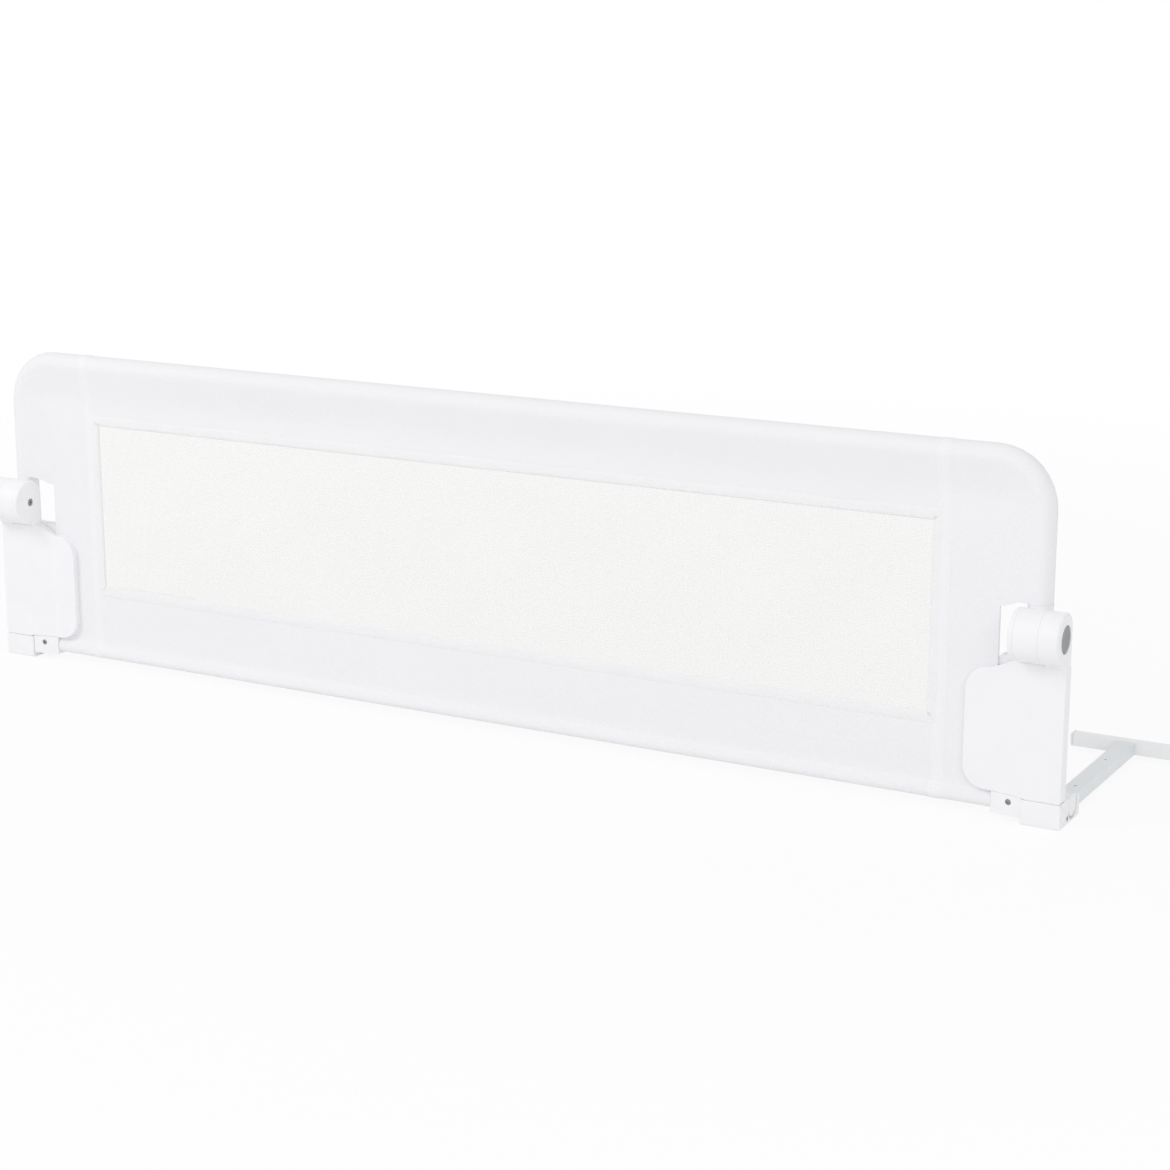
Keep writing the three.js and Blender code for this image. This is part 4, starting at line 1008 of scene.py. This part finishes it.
bridge = inset(rounded(bridge_corners, [0.4, 2, 2, 1, 1, 1]), 0.06)
foot_parts = [
    skin(0, [*edge_rings(inner_cheek, box_x, -1, 0.1, 3)[::-1], (slot_x, inner_cheek)]),
    skin(0, [(slot_x - 0.7, bridge), (slot_end + 0.5, bridge)]),
    skin(0, [(slot_end, outer_cheek), *edge_rings(outer_cheek, end_x, 1, 0.3, 3)]),
]
make_pair("foot", "lower_frame", white_plastic, *foot_parts)

# The base arms: rectangular steel tubes with a grey coat, which reach back under the mattress. A
# moulded knuckle joins each to its foot, and a short tube across the end carries two plastic caps.
pin_radius = 4.3
neck_x, neck_end, eye_x, eye_end = 722.5, 743.7, 742.5, 749.6
eye_arc = polar(pivot, eye_radius, np.linspace(np.radians(20), 3 * np.pi / 2, 40))
neck_outline = rounded([*eye_arc, (52.7, 4.5), (52.7, 20), (41, 20)], [*np.zeros(40), 1, 1, 4])
eye_outline = circle(pivot, eye_radius)
neck_bore, neck_edge = [(neck_end, pin_radius)], (1.0, 4)
neck = eye(neck_outline, pivot, neck_x, neck_end, pin_radius, neck_bore, neck_edge, neck_edge)
eye_rings = [
    (eye_x, inset(eye_outline, eye_radius - pin_radius)),
    (eye_x, eye_outline),
    *edge_rings(eye_outline, eye_end, 1, 1.2, 4),
    (eye_end, inset(eye_outline, 9)),
]
make_pair("arm_knuckle", "arm", white_plastic, neck, skin(0, eye_rings))


def bevelled_copy(node, width, along, finish):
    """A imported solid's own shape with soft edges: its triangles are merged, flat ones joined, and
    the edges that run along the given axis bevelled. It rides on the arm of its own side."""
    work = bmesh.new()
    work.from_mesh(nodes[node].data)
    bmesh.ops.remove_doubles(work, verts=work.verts, dist=0.005 * MM)
    bmesh.ops.dissolve_limit(work, angle_limit=np.radians(1), verts=work.verts, edges=work.edges)
    long_edges = [
        edge
        for edge in work.edges
        if edge.calc_face_angle(0) > 0.5
        and abs((edge.verts[0].co - edge.verts[1].co)[along]) > 0.98 * edge.calc_length() > 9 * MM
    ]
    bmesh.ops.bevel(work, geom=long_edges, offset=width * MM, segments=4, profile=0.5, affect="EDGES")
    piece = finish_piece(bpy.data.meshes.new(f"{node}_form"), work, finish, [node])
    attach(piece, f"{node.split('_')[0]}_arm")


grey_coat = powder_coat("grey_powder_coat", "e2e6e8", "e9ecee", 0.45), "grey_steel"
pale_coat = powder_coat("pale_powder_coat", "f3f4f5", "f8f9fa", 0.45), "grey_steel"
pale_plastic = moulded("pale_moulded_polypropylene", "ecedef", "f2f3f4", 0.5), "grey_plastic"
for side in ("right", "left"):
    bevelled_copy(f"{side}_base_arm", 1.3, 1, grey_coat)
    bevelled_copy(f"{side}_t_bar", 1.3, 0, pale_coat)
    for end in ("inner", "outer"):
        bevelled_copy(f"{side}_t_bar_{end}_cap", 0.7, 1, pale_plastic)

# The studio: a white floor that fades into a white surround, soft light from all round, and two
# broad lamps high up in front. The floor shows the rail's shadow only faintly, as the photograph
# does.
floor_half, lines = 30.0, 25
floor_line = np.linspace(-1, 1, lines) ** 3 * floor_half
floor_x, floor_y = np.meshgrid(floor_line, floor_line)
floor_mesh = bpy.data.meshes.new("studio_floor")
floor_points = np.stack([floor_x, floor_y, np.full_like(floor_x, -0.0005)], -1).reshape(-1, 3)
floor_mesh.from_pydata(floor_points.tolist(), [], grid_quads(lines, lines).tolist())
floor = bpy.data.objects.new("studio_floor", floor_mesh)
scene.collection.objects.link(floor)


def for_eyes(tree):
    """1 for rays that show a surface to the camera, also by reflection or through a gap, else 0."""
    seen = add_node(tree, "LightPath").outputs
    direct = maths(tree, "MAXIMUM", seen["Is Camera Ray"], seen["Is Glossy Ray"])
    return maths(tree, "MAXIMUM", direct, seen["Is Transmission Ray"])


paper, tree, shader, coordinates = new_material("studio_paper", 0.9)
shader.inputs["Base Color"].default_value = linear("f4f4f4")
away = add_node(tree, "VectorMath", {"operation": "LENGTH", 0: coordinates})
fade = ranged(tree, away.outputs["Value"], 0.86, 1.0, 0.8, 2.6)
share = maths(tree, "MAXIMUM", maths(tree, "MULTIPLY", for_eyes(tree), fade), 0.2)
glow = add_node(tree, "Emission", {"Strength": 1.0})
mixed = add_node(tree, "MixShader", {0: share, 1: shader, 2: glow})
tree.links.new(mixed.outputs[0], tree.nodes["Material Output"].inputs["Surface"])
floor_mesh.materials.append(paper)

world = bpy.data.worlds.new("studio")
scene.world = world
world.use_nodes = True
tree = world.node_tree
background = tree.nodes["Background"].inputs
level = ranged(tree, for_eyes(tree), 0.755, 1.0)
tree.links.new(level.outputs[0], background["Strength"])
background["Color"].default_value = (1, 1, 1, 1)

for name, place, size, power in (
    ("key", (-1.9, -2.6, 2.6), 1.6, 31.0),
    ("fill", (2.6, -2.4, 1.7), 1.8, 15.0),
):
    lamp = bpy.data.lights.new(name, "AREA")
    lamp.shape, lamp.size, lamp.energy = "DISK", size, power
    lamp_object = bpy.data.objects.new(name, lamp)
    lamp_object.location = place
    toward = mathutils.Vector((0, rail_y, 0.25)) - lamp_object.location
    lamp_object.rotation_euler = toward.to_track_quat("-Z", "Y").to_euler()
    scene.collection.objects.link(lamp_object)

scene.view_settings.view_transform = "Standard"
